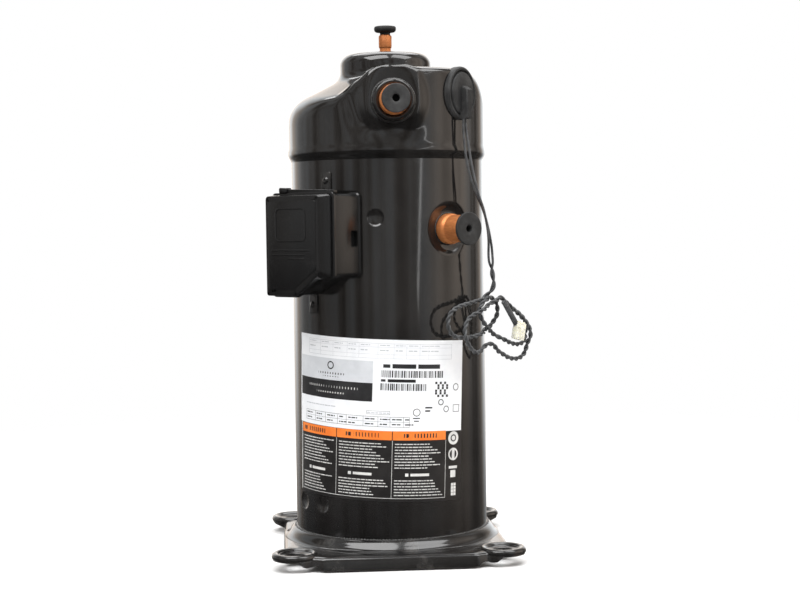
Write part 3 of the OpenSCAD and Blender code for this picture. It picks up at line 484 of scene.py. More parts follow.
class Form:
    """A mesh that grows from lofts, lathed profiles and tubes, in millimetres."""

    def __init__(self):
        self.mesh = bmesh.new()

    def loft(self, rings, place=None, capped=True, looped=False):
        """Faces between rings of as many points each, with both ends capped or the last joined to the first."""
        place = place or Matrix.Identity(4)
        rows = [[self.mesh.verts.new(place @ Vector(p)) for p in ring] for ring in rings]
        count = len(rows[0])
        pairs = list(zip(rows, rows[1:])) + ([(rows[-1], rows[0])] if looped else [])
        for low, high in pairs:
            for i in range(count):
                j = (i + 1) % count
                self.mesh.faces.new((low[i], low[j], high[j], high[i]))
        if capped and not looped:
            self.mesh.faces.new(rows[0][::-1])
            self.mesh.faces.new(rows[-1])
        return self

    def lathe(self, profile, place=None, count=96, looped=False):
        """A profile of (radius, height) turned about Z."""
        return self.loft([ring_at(circle(r, count), h) for r, h in profile], place, not looped, looped)

    def slab(self, outline, low, high, edge=0.6, place=None):
        """An outline with thickness and rounded edges."""
        levels = []
        for k in range(4):
            turn = math.radians(90 * k / 3)
            levels.append((edge * (1 - math.sin(turn)), edge * (1 - math.cos(turn))))
        rings = [ring_at(inset(outline, side), low + up) for side, up in levels]
        rings += [ring_at(inset(outline, side), high - up) for side, up in reversed(levels)]
        return self.loft(rings, place)

    def sheet(self, rows, looped=False, across=False):
        """A grid of points as faces. Looped joins the last row to the first, and across each row's ends."""
        made = [[self.mesh.verts.new(Vector(p)) for p in row] for row in rows]
        pairs = list(zip(made, made[1:])) + ([(made[-1], made[0])] if looped else [])
        for low, high in pairs:
            for i in range(len(low) if across else len(low) - 1):
                j = (i + 1) % len(low)
                self.mesh.faces.new((low[i], low[j], high[j], high[i]))
        return self

    def tube(self, line, radius, sides=8):
        """A round tube along a line, closed at both ends."""
        rings = []
        side = Vector((0.31, 0.95, 0.05))
        for i, point in enumerate(line):
            ahead = (line[min(i + 1, len(line) - 1)] - line[max(i - 1, 0)]).normalized()
            side = (side - ahead * side.dot(ahead)).normalized()
            up = ahead.cross(side)
            rings.append([point + (side * math.cos(math.tau * k / sides) + up * math.sin(math.tau * k / sides))
                          * radius for k in range(sides)])
        return self.loft(rings)

    def piece(self, name, finish, slot, body="frame", replaces=(), sharp=38):
        """Close the mesh, stand it in the frame in metres, and hand it over."""
        bmesh.ops.remove_doubles(self.mesh, verts=self.mesh.verts, dist=0.0005)
        bmesh.ops.recalc_face_normals(self.mesh, faces=self.mesh.faces)
        bmesh.ops.scale(self.mesh, vec=(MM, MM, MM), verts=self.mesh.verts)
        data = bpy.data.meshes.new(name)
        self.mesh.to_mesh(data)
        self.mesh.free()
        return hand_over(name, data, finish, body, replaces, sharp)


def hand_over(name, data, finish, body, replaces=(), sharp=38):
    """A finished mesh in metres becomes a piece: smooth, painted, riding on its body."""
    for face in data.polygons:
        face.use_smooth = True
    data.set_sharp_from_angle(angle=math.radians(sharp))
    data.materials.clear()
    data.materials.append(finish)
    piece = stand(name, data)
    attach(piece, body)
    if replaces:
        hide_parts(*replaces)
    return piece


def carve(piece, *cutters):
    """Cut closed forms out of a piece, before anything else is done with it."""
    for cutter in cutters:
        bmesh.ops.recalc_face_normals(cutter.mesh, faces=cutter.mesh.faces)
        bmesh.ops.scale(cutter.mesh, vec=(MM, MM, MM), verts=cutter.mesh.verts)
        data = bpy.data.meshes.new("cutter")
        cutter.mesh.to_mesh(data)
        tool = stand("cutter", data)
        step = piece.modifiers.new("carve", "BOOLEAN")
        step.operation = "DIFFERENCE"
        step.solver = "EXACT"
        step.object = tool
        flatten(piece)
        bpy.data.objects.remove(tool)
    for face in piece.data.polygons:
        face.use_smooth = True
    piece.data.set_sharp_from_angle(angle=math.radians(38))


def evaluated_mesh(made):
    """A new mesh of what an object's live modifiers make."""
    bpy.context.view_layer.update()
    graph = bpy.context.evaluated_depsgraph_get()
    return bpy.data.meshes.new_from_object(made.evaluated_get(graph))


def flatten(piece):
    """Turn a piece's live modifiers into its mesh."""
    done = evaluated_mesh(piece)
    piece.modifiers.clear()
    piece.data = done


def bore(place, radius, low, high, count):
    """A closed round form that cuts a hole."""
    return Form().lathe([(0.001, low), (radius, low), (radius, high), (0.001, high)], place, count)


# ---- Lead ----

LEAD_ROUTE = [(67, -77, 400), (67, -77, 392), (68, -77, 382), (70, -76, 366), (73, -76, 350),
              (78, -75, 332), (84, -74, 316), (88, -72, 300), (90, -71, 286), (91, -69, 270), (93, -67, 254),
              (95, -64, 240)]
WIRE_R = 1.14
KNOT_SPACING = 4.0
LEAD_FREE_FROM = 36
# Petals of the loose loops, in the coil's plane: (along, up, away from the shell)
LOOPS = [(30, 231, 110), (16, 232, 108), (2, 230, 107), (-15, 227, 107), (-27, 221, 107), (-33, 214, 107),
         (-31, 207, 107), (-22, 201, 107.5), (-8, 198.5, 108.5), (8, 200, 110), (22, 203.5, 111.5),
         (34, 208, 113), (42, 216, 113), (44, 226, 112), (38, 233, 111), (24, 235, 110.5), (12, 232, 111),
         (3, 225, 112), (8, 215, 113), (20, 206, 113.5), (35, 197, 113.5), (48, 191, 113.5), (60, 188.5, 113),
         (71, 191, 112.5), (79, 197, 112), (81, 205, 111.5), (76, 213, 111), (65, 220, 110), (54, 227, 109),
         (42, 234, 108), (30, 232, 107.5), (18, 226, 108.5), (4, 221, 110.5), (-8, 214, 112), (-12, 205, 112.5),
         (-9, 195, 112), (-1, 187, 111), (8, 182, 110), (16, 184, 109), (20, 192, 108), (21, 203, 107),
         (25, 215, 106.5), (34, 226, 106.5), (44, 229, 107), (50, 221, 107.5), (44, 211, 108), (34, 203, 108),
         (25, 196, 108), (29, 188, 108), (40, 182, 108.5), (52, 176, 109), (64, 174.5, 109), (73, 178, 109),
         (78, 187, 109), (80, 197, 108.5), (76, 207, 107.5), (66, 216, 106.5), (54, 224, 106.5), (44, 231, 108),
         (39, 230, 112), (37, 228, 116.5)]


def coil_point(along, up, away):
    """A point in the coil's plane, by its place along it, its height and its distance from the axis."""
    turn = math.radians(COIL_AZIMUTH)
    return Vector((along * math.cos(turn) + away * math.sin(turn),
                   along * math.sin(turn) - away * math.cos(turn), up))


def smooth_line(points, spacing):
    """A curve through points, resampled to an even spacing."""
    dense = []
    count = len(points)
    for i in range(count - 1):
        a, b, c, d = (points[min(max(i + k, 0), count - 1)] for k in (-1, 0, 1, 2))
        for k in range(24):
            t = k / 24
            dense.append(0.5 * (2 * b + (c - a) * t + (2 * a - 5 * b + 4 * c - d) * t * t
                                + (3 * b - a - 3 * c + d) * t ** 3))
    dense.append(points[-1])
    line, left = [dense[0]], spacing
    for start, end in zip(dense, dense[1:]):
        run = (end - start).length
        while run > left:
            start = start + (end - start) * (left / run)
            line.append(start)
            run -= left
            left = spacing
        left -= run
    if left < spacing / 2:
        line.append(dense[-1])
    else:
        line[-1] = dense[-1]
    return line


def settle(line, clear, least):
    """Ease the loops of a lead: no bend under a least radius, and each turn lies outside the one before."""
    turn = math.radians(COIL_AZIMUTH)
    off_shell = Vector((math.sin(turn), -math.cos(turn), 0))
    for step in range(50):
        if step % 12 == 11:
            line = smooth_line(line, KNOT_SPACING)
        last = len(line) - 1
        tree = kdtree.KDTree(len(line))
        for i, point in enumerate(line):
            tree.insert(point, i)
        tree.balance()
        moved = [p.copy() for p in line]
        for i in range(LEAD_FREE_FROM, last):
            for reach, pull in ((1, 0.3), (2, 0.22), (3, 0.12)):
                if i + reach <= last:
                    before, here, after = line[i - reach], line[i], line[i + reach]
                    middle = (before + after) / 2
                    bend = (after - before).length_squared / (8 * (here - middle).length + 1e-6)
                    if bend < least:
                        moved[i] += (middle - here) * pull
            push = sum(math.copysign(clear - distance, i - j)
                       for _, j, distance in tree.find_range(line[i], clear) if abs(i - j) > 5)
            moved[i] += off_shell * push * 0.25
            depth = moved[i].dot(off_shell)
            moved[i] += off_shell * (min(max(depth, 101), 121) - depth) * 0.6
        line = moved
    return line


def twisted_pair(line, spacing, pitch, gap_at):
    """Two wires wound round each other along a line; they lie apart where gap_at says so."""
    side = Vector((0.2, 0.9, 0.1))
    strands = ([], [])
    turn = 0.4
    for i, point in enumerate(line):
        ahead = (line[min(i + 1, len(line) - 1)] - line[max(i - 1, 0)]).normalized()
        side = (side - ahead * side.dot(ahead)).normalized()
        up = ahead.cross(side)
        apart, tight = gap_at(i * spacing)
        turn += math.tau * spacing / pitch * tight
        swing = (side * math.cos(turn) + up * math.sin(turn)) * (WIRE_R * 0.99 + apart)
        strands[0].append(point + swing)
        strands[1].append(point - swing)
    return strands


def lead_gap(travelled):
    """How far apart the wires lie and how tightly they twist, by the length from the cover."""
    loose = 1 - smoothstep(128, 142, travelled)
    slack = 0.55 + 0.25 * math.sin(travelled / 23)
    return loose * slack + 0.7 * math.exp(-((travelled - 126) / 12) ** 2), 1 - 0.94 * loose \
        - 0.42 * (1 - loose) * (1 - smoothstep(168, 196, travelled))


def hang_lead():
    """The thermistor's twisted lead, from under its cover down into loose loops and to its connector."""
    spacing = 1.1
    knots = [Vector(p) for p in LEAD_ROUTE] + [coil_point(*p) for p in LOOPS]
    line = smooth_line(settle(smooth_line(knots, KNOT_SPACING), 5.2, 10), spacing)
    form = Form()
    for strand in twisted_pair(line, spacing, 13.5, lead_gap):
        form.tube(strand, WIRE_R, 10)
    lead = form.piece("lead_wires", SHEATH, "lead_sheath", replaces=("thermistor_lead", "thermistor_coil"))
    run = sum((b - a).length for a, b in zip(line, line[1:])) * MM

    sleeve = Form()
    top, foot = coil_point(35, 230.5, 118.5), coil_point(51.5, 208.5, 118.8)
    route = [top + (foot - top) * (i / 12) for i in range(13)]
    sleeve.tube(route, 2.6, 20)
    sleeve = sleeve.piece("lead_shrink_sleeve", SHEATH, "black_rubber", replaces=("lead_sleeve",))

    connector = connector_housing()
    [tuple(p * MM) for p in line]


def connector_housing():
    """A two-way ivory housing with a locking rib, two cavities and a step where the wires go in."""
    place = Matrix.Rotation(math.radians(COIL_AZIMUTH), 4, "Z") @ Matrix.Translation((0, -COIL_NEAR - 12, 0)) \
        @ Matrix.Rotation(math.radians(90), 4, "X") @ Matrix.Translation((54.5, 201.5, 0.2)) \
        @ Matrix.Rotation(math.radians(-14), 4, "Z")
    form = Form()
    for corners, radius, steps, low, high, edge in (
            ((-5.8, -8, 5.8, 8), 1.0, 4, 0, 6.6, 0.5), ((-4.6, 6, 4.6, 9.2), 0.8, 4, 0.8, 5.8, 0.4),
            ((-1.7, -6, 1.7, 5.4), 0.5, 3, 6.2, 7.4, 0.3), ((-5.2, 2.6, 5.2, 4.6), 0.4, 3, 6.2, 7.1, 0.25),
            ((-3.4 - 1.1, -6, -3.4 + 1.1, 0.5), 0.3, 3, 6.2, 6.95, 0.2),
            ((3.4 - 1.1, -6, 3.4 + 1.1, 0.5), 0.3, 3, 6.2, 6.95, 0.2)):
        form.slab(oblong(*corners, radius, steps), low, high, edge, place)
    return form.piece("lead_connector", NYLON, "ivory_nylon", replaces=("thermistor_connector",))


hang_lead()


# ---- Shell and cap ----

DIMPLES = ((-11, 310), (-67, 43), (-48.5, 43))
TURNS = 360


def dent(azimuth, height):
    """How far the pressed dimples, round punch marks with a soft edge, push the shell in."""
    depth = 0
    for at, level in DIMPLES:
        away = math.hypot(math.radians(azimuth - at) * SHELL_R, height - level)
        if away < 8.4:
            bowl = 2.7 * math.sqrt(max(0, 1 - (away / 9.4) ** 2)) - 0.9
            depth += bowl * (1 - smoothstep(6.6, 8.4, away))
    return max(depth, 0)


def shell_azimuths():
    """Azimuths round the shell, closer together over the dimples."""
    turns = azimuths(300)
    for at, _ in DIMPLES:
        turns = [a for a in turns if abs(a - at) > 6.2] + [at + 0.3 * k for k in range(-20, 21)]
    return sorted(turns)


def azimuths(count=TURNS):
    return [-180 + 360 * i / count for i in range(count)]


def roll_shell():
    """The rolled centre shell, with its dimples, reaching down to the foot."""
    levels = sorted([4, 12, 22, 32] + [34 + 0.5 * i for i in range(37)] + [54 + 8 * i for i in range(31)]
                    + [301 + 0.5 * i for i in range(37)] + [321 + 8.1 * i for i in range(8)])
    turns = shell_azimuths()
    rows = [[polar(a, SHELL_R - dent(a, z), z) for a in turns] for z in levels]
    rows += [[polar(a, SHELL_R - 3.4, z) for a in turns] for z in (levels[-1], 4)]
    shell = Form().sheet(rows, looped=True, across=True).piece(
        "centre_shell_drawn", ENAMEL, "black_enamel", replaces=("centre_shell",))
    carve(shell, bore(outward(*SUCTION), PAD_R + 0.08, 70, 110, 128),
          bore(outward(BOX_AZIMUTH, BOX_FOOT + 50), 19, 70, 110, 128))


# Stops of (azimuth, millimetres) for the cap's form: the corner's height and its reach down the wall and inwards
CORNER_HEIGHT = ((-180, 417.6), (-56, 417.4), (-36, 419.5), (-22, 434), (-8, 447.4), (62, 447.6), (90, 446),
                 (118, 436), (150, 419), (180, 417.6))
WALL_REACH = ((-180, 18), (-70, 18), (-40, 9), (-8, 7), (34, 7), (62, 20), (86, 36), (112, 30), (150, 18),
              (180, 18))
ROOF_REACH = ((-180, 17), (-70, 17), (-40, 10), (-8, 8), (34, 8), (62, 20), (86, 40), (112, 28), (150, 17),
              (180, 17))
TURRET_FOOT = ((-180, 443), (-60, 443), (-24, 444.5), (0, 448.6), (70, 448.8), (110, 446), (150, 443), (180, 443))
TURRET_R = 44


def boss_pad(x, height, radius, azimuth):
    """The wall's radius where a flat is pressed round the discharge boss, with a hollow under it."""
    if abs(azimuth) > 50:
        return radius
    above = height - DISCHARGE[1]
    away = math.hypot(x, above * (0.7 if above > 0 else 1.0))
    flat = min(94.9 / math.cos(math.radians(azimuth)), 97.8)
    if radius > 90:
        radius += (flat - radius) * (1 - smoothstep(21, 35, away))
    hollow = math.exp(-(x / 19) ** 2 - ((height - 390) / 8) ** 2)
    valley = math.exp(-((x + 39 + 0.25 * above) / 7) ** 2) * smoothstep(382, 402, height)
    return radius - 2.2 * hollow - (1.9 * valley if radius > 90 else 0)


def cap_profile(azimuth):
    """Points (radius, height) of the cap's section at an azimuth, from its rim up and back down inside."""
    corner = along_stops(azimuth, CORNER_HEIGHT)
    down, inward = along_stops(azimuth, WALL_REACH), along_stops(azimuth, ROOF_REACH)
    foot = along_stops(azimuth, TURRET_FOOT)
    points = [(92.45, 363.6), (92.7, 364.8), (93.3, 366.2), (94.3, 367.9), (95.2, 369.8), (95.6, 371.8),
              (95.4, 374.0), (94.9, 376.4), (CAP_R, 378.2)]
    top_of_wall = corner - down
    points += [(CAP_R, 378.2 + (top_of_wall - 378.2) * i / 26) for i in range(1, 27)]
    slope = (foot - corner) / (CAP_R - TURRET_R)
    start, end = Vector((CAP_R, top_of_wall)), Vector((CAP_R - inward, corner + slope * inward))
    middle = Vector((CAP_R, corner))
    points += [tuple(p) for p in bow(start, middle, end, 12, 1)]
    foot_r = 8
    for i in range(1, 7):
        r = end.x + (TURRET_R + foot_r - end.x) * i / 6
        points.append((r, corner + slope * (CAP_R - r)))
    start, middle, end = Vector(points[-1]), Vector((TURRET_R, foot)), Vector((TURRET_R, foot + foot_r))
    points += [tuple(p) for p in bow(start, middle, end, 6, 1)]
    fillet = 10.5
    for i in range(0, 10):
        turn = math.radians(10 * i)
        points.append((TURRET_R - fillet + fillet * math.cos(turn), TURRET_TOP - fillet + fillet * math.sin(turn)))
    points += [(26, TURRET_TOP + 0.35), (16, TURRET_TOP + 0.6), (8, TURRET_TOP + 0.6), (6.6, TURRET_TOP + 1.2),
               (5.5, TURRET_TOP + 1.2), (5.5, TURRET_TOP - 3.6), (32, TURRET_TOP - 4), (40, TURRET_TOP - 12),
               (40, foot - 4), (CAP_R - inward - 3, corner + slope * inward - 5), (90.4, top_of_wall - 4),
               (90.4, 382), (92.45, 381)]
    return points


def press_cap():
    """The pressed top cap: a low shoulder, a high plateau over the fittings, and the lift piston's turret."""
    sections = {a: cap_profile(a) for a in azimuths()}
    rows = []
    wall = range(9, 51)
    for k in range(len(cap_profile(0))):
        row = []
        for a in azimuths():
            radius, height = sections[a][k]
            if k in wall:
                radius = boss_pad(radius * math.sin(math.radians(a)), height, radius, a)
            row.append(polar(a, radius, height))
        rows.append(row)
    cap = Form().sheet(rows, looped=True, across=True).piece(
        "top_cap_pressed", ENAMEL, "black_enamel", replaces=("top_cap",), sharp=50)
    carve(cap, bore(outward(*DISCHARGE), 15, 70, 120, 64))


# ---- Weld beads ----

def bead_tree():
    """Geometry Nodes: a ring of overlapping drops of weld metal, each a little different."""
    tree = bpy.data.node_groups.new("weld_bead", "GeometryNodeTree")
    face = tree.interface
    face.new_socket("Geometry", in_out="INPUT", socket_type="NodeSocketGeometry")
    for name, kind in (("Ring Radius", "NodeSocketFloat"), ("Drop Radius", "NodeSocketFloat"),
                       ("Drops", "NodeSocketInt")):
        face.new_socket(name, in_out="INPUT", socket_type=kind)
    face.new_socket("Geometry", in_out="OUTPUT", socket_type="NodeSocketGeometry")

    def node(kind, inputs=None, **settings):
        made = tree.nodes.new(kind)
        for key, value in settings.items():
            setattr(made, key, value)
        for key, value in (inputs or {}).items():
            if isinstance(value, bpy.types.NodeSocket):
                tree.links.new(value, made.inputs[key])
            else:
                made.inputs[key].default_value = value
        return made

    sizes = node("NodeGroupInput").outputs
    ring = node("GeometryNodeCurvePrimitiveCircle", {"Resolution": 128, "Radius": sizes["Ring Radius"]})
    even = node("GeometryNodeResampleCurve", {"Curve": ring.outputs["Curve"], "Count": sizes["Drops"]})
    drop = node("GeometryNodeMeshIcoSphere", {"Radius": sizes["Drop Radius"], "Subdivisions": 2})
    shape = node("GeometryNodeTransform", {"Geometry": drop.outputs["Mesh"], "Scale": (1.0, 1.25, 0.8)})
    swell = node("FunctionNodeRandomValue", {"Min": (0.85, 0.85, 0.8), "Max": (1.15, 1.15, 1.1), "Seed": 7},
                 data_type="FLOAT_VECTOR")
    face_out = node("FunctionNodeAlignRotationToVector", {"Vector": node("GeometryNodeInputTangent").outputs[0]},
                    axis="Y")
    drops = node("GeometryNodeInstanceOnPoints", {
        "Points": even.outputs["Curve"], "Instance": shape.outputs["Geometry"],
        "Rotation": face_out.outputs["Rotation"], "Scale": swell.outputs[0]})
    real = node("GeometryNodeRealizeInstances", {"Geometry": drops.outputs["Instances"]})
    painted = node("GeometryNodeSetMaterial", {"Geometry": real.outputs["Geometry"], "Material": WELD})
    node("NodeGroupOutput", {"Geometry": painted.outputs["Geometry"]})
    return tree


BEADS = bead_tree()


def lay_bead(name, place, ring_r, drop_r, drops):
    """One ring of weld drops, in a place's XY plane."""
    seed = stand(name + "_path", bpy.data.meshes.new(name))
    step = seed.modifiers.new("bead", "NODES")
    step.node_group = BEADS
    sizes = {"Ring Radius": ring_r * MM, "Drop Radius": drop_r * MM, "Drops": drops}
    for socket in BEADS.interface.items_tree:
        if socket.in_out == "INPUT" and socket.name in sizes:
            step[socket.identifier] = sizes[socket.name]
    done = evaluated_mesh(seed)
    bpy.data.objects.remove(seed)
    shift = place.copy()
    shift.translation *= MM
    done.transform(shift)
    hand_over(name, done, WELD, "frame")


def lay_beads():
    lay_bead("weld_foot", Matrix.Translation((0, 0, 13.4)), 93.4, 1.5, 200)
    lay_bead("weld_boss", outward(*DISCHARGE) @ Matrix.Translation((0, 0, 95.0)), 19.4, 1.5, 66)
    lay_bead("weld_unloader", Matrix.Translation((0, 0, TURRET_TOP + 1.0)), 6.6, 1.0, 22)
    lay_bead("weld_suction", outward(*SUCTION) @ Matrix.Translation((0, 0, PAD_FLOOR)), 14.6, 0.9, 60)


# ---- Base plate ----

EAR_AT = 95.25
EAR_R = 21
EARS = [(x * EAR_AT, y * EAR_AT) for x in (-1, 1) for y in (-1, 1)]
FLANGE_X, FLANGE_Y = 105, 116


def base_reach(azimuth):
    """How far the pressed plate reaches from the axis at an azimuth, ears included."""
    turn = math.radians(azimuth)
    ray = Vector((abs(math.sin(turn)), abs(math.cos(turn))))
    outline = [Vector(p) for p in ((0, FLANGE_Y), (70, FLANGE_Y), (88, FLANGE_Y - 8), (FLANGE_X, 66), (FLANGE_X, 0))]
    reach = 0
    for a, b in zip(outline, outline[1:]):
        edge = b - a
        cross = ray.x * edge.y - ray.y * edge.x
        if abs(cross) > 1e-9:
            share = (ray.y * a.x - ray.x * a.y) / cross
            if -1e-6 <= share <= 1 + 1e-6:
                reach = max(reach, (a + edge * share).length)
    ear = Vector((EAR_AT, EAR_AT))
    off = abs(ray.x * ear.y - ray.y * ear.x)
    if off < EAR_R:
        reach = max(reach, ear.dot(ray) + math.sqrt(EAR_R ** 2 - off ** 2))
    return reach


def flange_foot(azimuth):
    """How low the plate's edge reaches at an azimuth: deep flanges, crimped near the ears."""
    turn = math.radians(azimuth)
    x, y = abs(math.sin(turn)), abs(math.cos(turn))
    slant = math.degrees(math.atan2(x, y))
    return along_stops(slant, ((0, -9), (30, -9), (34.5, -4.6), (37, -6), (39, -1.0), (52, -1.0), (55, -6.5),
                               (58, -8.8), (90, -8.8)))


def press_base():
    """The square pressed plate: downturned flanges, crimped corners, a rolled cup at each mounting hole."""
    count = 720
    turns = azimuths(count)
    raw = [base_reach(a) for a in turns]
    reach = [sum(raw[(i + k) % count] for k in range(-1, 2)) / 3 for i in range(count)]
    # Rows of the section from the edge: (back, lowest level, lift over the flange's foot)
    section = ((-8.5, 4.0, 0.5), (-4.2, 3.75, 0.5), (-1.6, 2.7, 0.5), (-0.3, 0.9, 0.5), (0.1, -1.2, 0.5),
               (0.4, None, 0.35), (-0.5, None, 0.0), (-3.0, None, 0.1), (-3.6, None, 0.6),
               (-3.9, -0.9, 0.7), (-6.0, 0.0, 0.7))
    rows = [[polar(a, radius, 4.0) for a in turns] for radius in (70, 104)]
    for back, least, lift in section:
        levels = [flange_foot(a) + lift for a in turns]
        rows.append([polar(a, r + back, level if least is None else max(least, level))
                     for a, r, level in zip(turns, reach, levels)])
    rows.append([polar(a, 70, 0.2) for a in turns])
    form = Form().sheet(rows, looped=True, across=True)
    plate = form.piece("base_plate_pressed", BASE_ENAMEL, "black_enamel", replaces=("base_plate",))
    carve(plate, *(bore(Matrix.Translation((x, y, 0)), 14.5, -30, 30, 48) for x, y in EARS))
    cups = Form()
    cup = [(9.5, 0.5), (20.4, 0.05), (21.8, 0.9), (22.1, 2.4), (21.7, 4.2), (20.2, 5.5), (18.2, 5.7), (16.4, 4.9),
           (14.8, 3.6), (13.0, 2.6), (10.3, 2.3), (9.5, 1.9)]
    for x, y in EARS:
        cups.lathe(cup, Matrix.Translation((x, y, 0)), 72, looped=True)
    foot = [(91, 14.2), (92.6, 14.4), (93.6, 14.0), (95.6, 12.8), (97.6, 10.9), (99.2, 8.4), (100.6, 6.2),
            (102.6, 4.7), (104, 4.1), (104, 2), (91, 2)]
    cups.lathe(foot, None, 240, looped=True)
    cups.piece("base_plate_cups", BASE_ENAMEL, "black_enamel")


# ---- Terminal box ----

BOX_PLACE = outward(BOX_AZIMUTH, BOX_FOOT)
# Outline of the box, from its lower left round to the left, with the long cut at its lower right
BOX_OUTLINE = ((-34, 0, 3), (-5, 0, 8), (24, 15.5, 8), (39, 17, 4), (39, 92, 4), (-34, 92, 4))


def terminal_box():
    """The box that is left on the shell: walls, a lip at its back, its floor round the terminal, and a slot."""
    outline = rounded(BOX_OUTLINE, 3, 6, True)
    ring = circle(22, len(outline), (0, 50), math.radians(-127))
    steps = [(-0.9, 85.6), (-1.5, 86.4), (-1.5, 87.6), (-0.9, 88.2), (0, 88.6), (0, 94), (0, 118.9), (0.3, 119.7),
             (0.9, 120), (1.5, 119.7), (2.0, 118.9), (2.0, 99), (2.8, 97.0), (5, 96.5)]
    rings = [ring_at(inset(outline, 3), 84)] + [ring_at(inset(outline, side), up) for side, up in steps]
    rings += [ring_at(ring, 96.5), ring_at(ring, 84)]
    box = Form().loft(rings, BOX_PLACE, looped=True)
    box = box.piece("terminal_box_moulded", PLASTIC, "moulded_black", replaces=("terminal_box",))
    slot = Form().loft([ring_at(oblong(-4.7, -7.4, 4.7, 7.4, 1.8, 4), z) for z in (-4, 4)],
                       BOX_PLACE @ Matrix.Translation((39, 51.2, 94)) @ Matrix.Rotation(math.radians(90), 4, "Y"))
    carve(box, slot)


def between(low, high, share):
    """An outline part of the way from one outline to another with as many points."""
    return [a + (b - a) * share for a, b in zip(low, high)]


def cover_outlines():
    """The cover's lip, the foot of its pillow and its face: six matched corners each."""
    lip = [(-36, -2, 4), (-5, -2, 8), (24.6, 13.6, 8), (41, 15, 4), (41, 94, 5), (-36, 94, 5)]
    foot = [(-35.6, -0.8, 3), (-2.5, -0.8, 6), (25.5, 15.2, 6), (38, 17.2, 3), (38, 92, 4), (-35.6, 92, 4)]
    face = [(-36.6, -0.3, 3), (0.5, -0.3, 6), (27, 18.4, 3), (29.4, 22.4, 3), (29.4, 91, 4), (-36.6, 91, 4)]
    return [rounded(outline, 4, 6, True) for outline in (lip, foot, face)]


def terminal_cover():
    """The snap-on cover: a flat lip, a groove, sloped sides, and a face with a raised panel and a plain emblem."""
    lip, foot, face = cover_outlines()
    rings = [ring_at(inset(lip, side), up) for side, up in
             ((0.8, 120.35), (0.1, 120.8), (0.1, 122.8), (0.5, 123.2), (1.1, 123.3))]
    rings += [ring_at(inset(foot, side), up) for side, up in ((0.9, 123.3), (1.1, 124.0), (0.5, 124.8), (0, 125.6))]
    rings += [ring_at(between(foot, face, share), up) for share, up in
              ((0.12, 126.6), (0.55, 129.0), (0.86, 130.5), (0.96, 130.95))]
    rings += [ring_at(inset(face, side), up) for side, up in ((0.35, 131.2), (1.2, 131.3), (12, 131.3), (12, 129))]
    rings += [ring_at(inset(face, 3.2), 129), ring_at(inset(foot, 3), 125), ring_at(inset(lip, 4.4), 120.35)]
    form = Form()
    form.loft(rings, BOX_PLACE, looped=True)
    form.slab(inset(face, 11), 129.2, 131.3, 0.1, BOX_PLACE)
    panel = rounded([(-33.4, 5.2, 2), (-2.6, 5.2, 3), (25.8, 24.6, 4), (25.8, 86.8, 3), (-33.4, 86.8, 3)], 3, 5, True)
    form.slab(panel, 130.6, 131.85, 0.4, BOX_PLACE)
    rim = oblong(-24, 49, 14, 80, 6, 6)
    form.loft([ring_at(rim, 131.6), ring_at(rim, 132.1), ring_at(inset(rim, 0.35), 132.3),
               ring_at(inset(rim, 1.1), 132.3), ring_at(inset(rim, 1.45), 132.1), ring_at(inset(rim, 1.45), 131.6)],
              BOX_PLACE, looped=True)
    for left, right, level in ((-29, 18, 41.5), (-29, 12, 37.5), (-8, 12, 33.8)):
        form.slab(oblong(left, level - 0.9, right, level + 0.9, 0.8, 4), 131.6, 132.15, 0.2, BOX_PLACE)
    strip = rounded([(-24.5, 93.6), (40.5, 92.6), (40.5, 95.6), (-24.5, 97.4)], 0.7, 3, True)
    form.slab(strip, 117.4, 122.8, 0.5, BOX_PLACE)
    hook = rounded([(-26, 93.4), (-16.5, 93.4), (-16.5, 98.4), (-26, 98.8)], 1.6, 4, True)
    form.slab(hook, 116.6, 124.4, 0.9, BOX_PLACE)
    form.piece("terminal_cover_moulded", PLASTIC, "moulded_black", "cover", ("terminal_cover",))


def bracket(name, azimuth, low, high, hole, node):
    """A steel strip on the shell with its outer corners rounded, and its hole."""
    place = outward(azimuth, low)
    outline = rounded([(-5.4, 0, 0.4), (5.4, 0, 0.4), (5.4, high - low, 2.2), (-5.4, high - low, 2.2)], 1, 5, True)
    piece = Form().slab(outline, 91.6, 94.4, 0.7, place).piece(name, BRACKET, "bracket_steel", replaces=(node,))
    carve(piece, bore(place @ Matrix.Translation((0, hole - low, 0)), 2.4, 80, 100, 32))


def bracket_screws():
    """Two small pan-head screws, each with a dished top."""
    form = Form()
    for azimuth, level in (UPPER_BRACKET, LOWER_BRACKET):
        place = outward(azimuth, level) @ Matrix.Translation((0, 0, 93.9))
        form.lathe([(0.001, -2), (2.1, -2), (2.1, 0.1), (3.3, 0.15), (3.4, 0.5), (2.7, 1.3), (1.6, 1.7), (1.5, 1.0),
                    (0.001, 0.9)], place, 32)
    form.piece("bracket_screws_cross", BRACKET, "zinc_steel", replaces=("bracket_screws",))


# ---- Fittings ----

def plug(name, azimuth, height, bore_r, flange_r, off, body, node):
    """A rubber shipping plug: a ribbed shank, a flange with rounded edges and a blind hole."""
    r = bore_r - 0.3 - math.hypot(*off)
    profile = [(0.001, 105), (r - 1.4, 105), (r - 0.3, 106.4), (r, 108), (r - 0.5, 109), (r, 110.4), (r - 0.5, 112),
               (r, 113.4), (r - 0.2, 116.6), (r, 117.0), (flange_r - 0.8, 117.05), (flange_r - 0.2, 117.5),
               (flange_r, 118.2), (flange_r - 0.1, 119.4), (flange_r - 0.7, 119.95), (flange_r - 2.6, 120.05),
               (6.5, 120.0), (4.2, 119.9), (3.5, 119.4), (3.3, 118.6), (3.3, 109.4), (2.6, 109.0), (0.001, 109.0)]
    place = outward(azimuth, height) @ Matrix.Translation((off[0], off[1], 0))
    Form().lathe(profile, place).piece(name, RUBBER, "black_rubber", body, (node,))


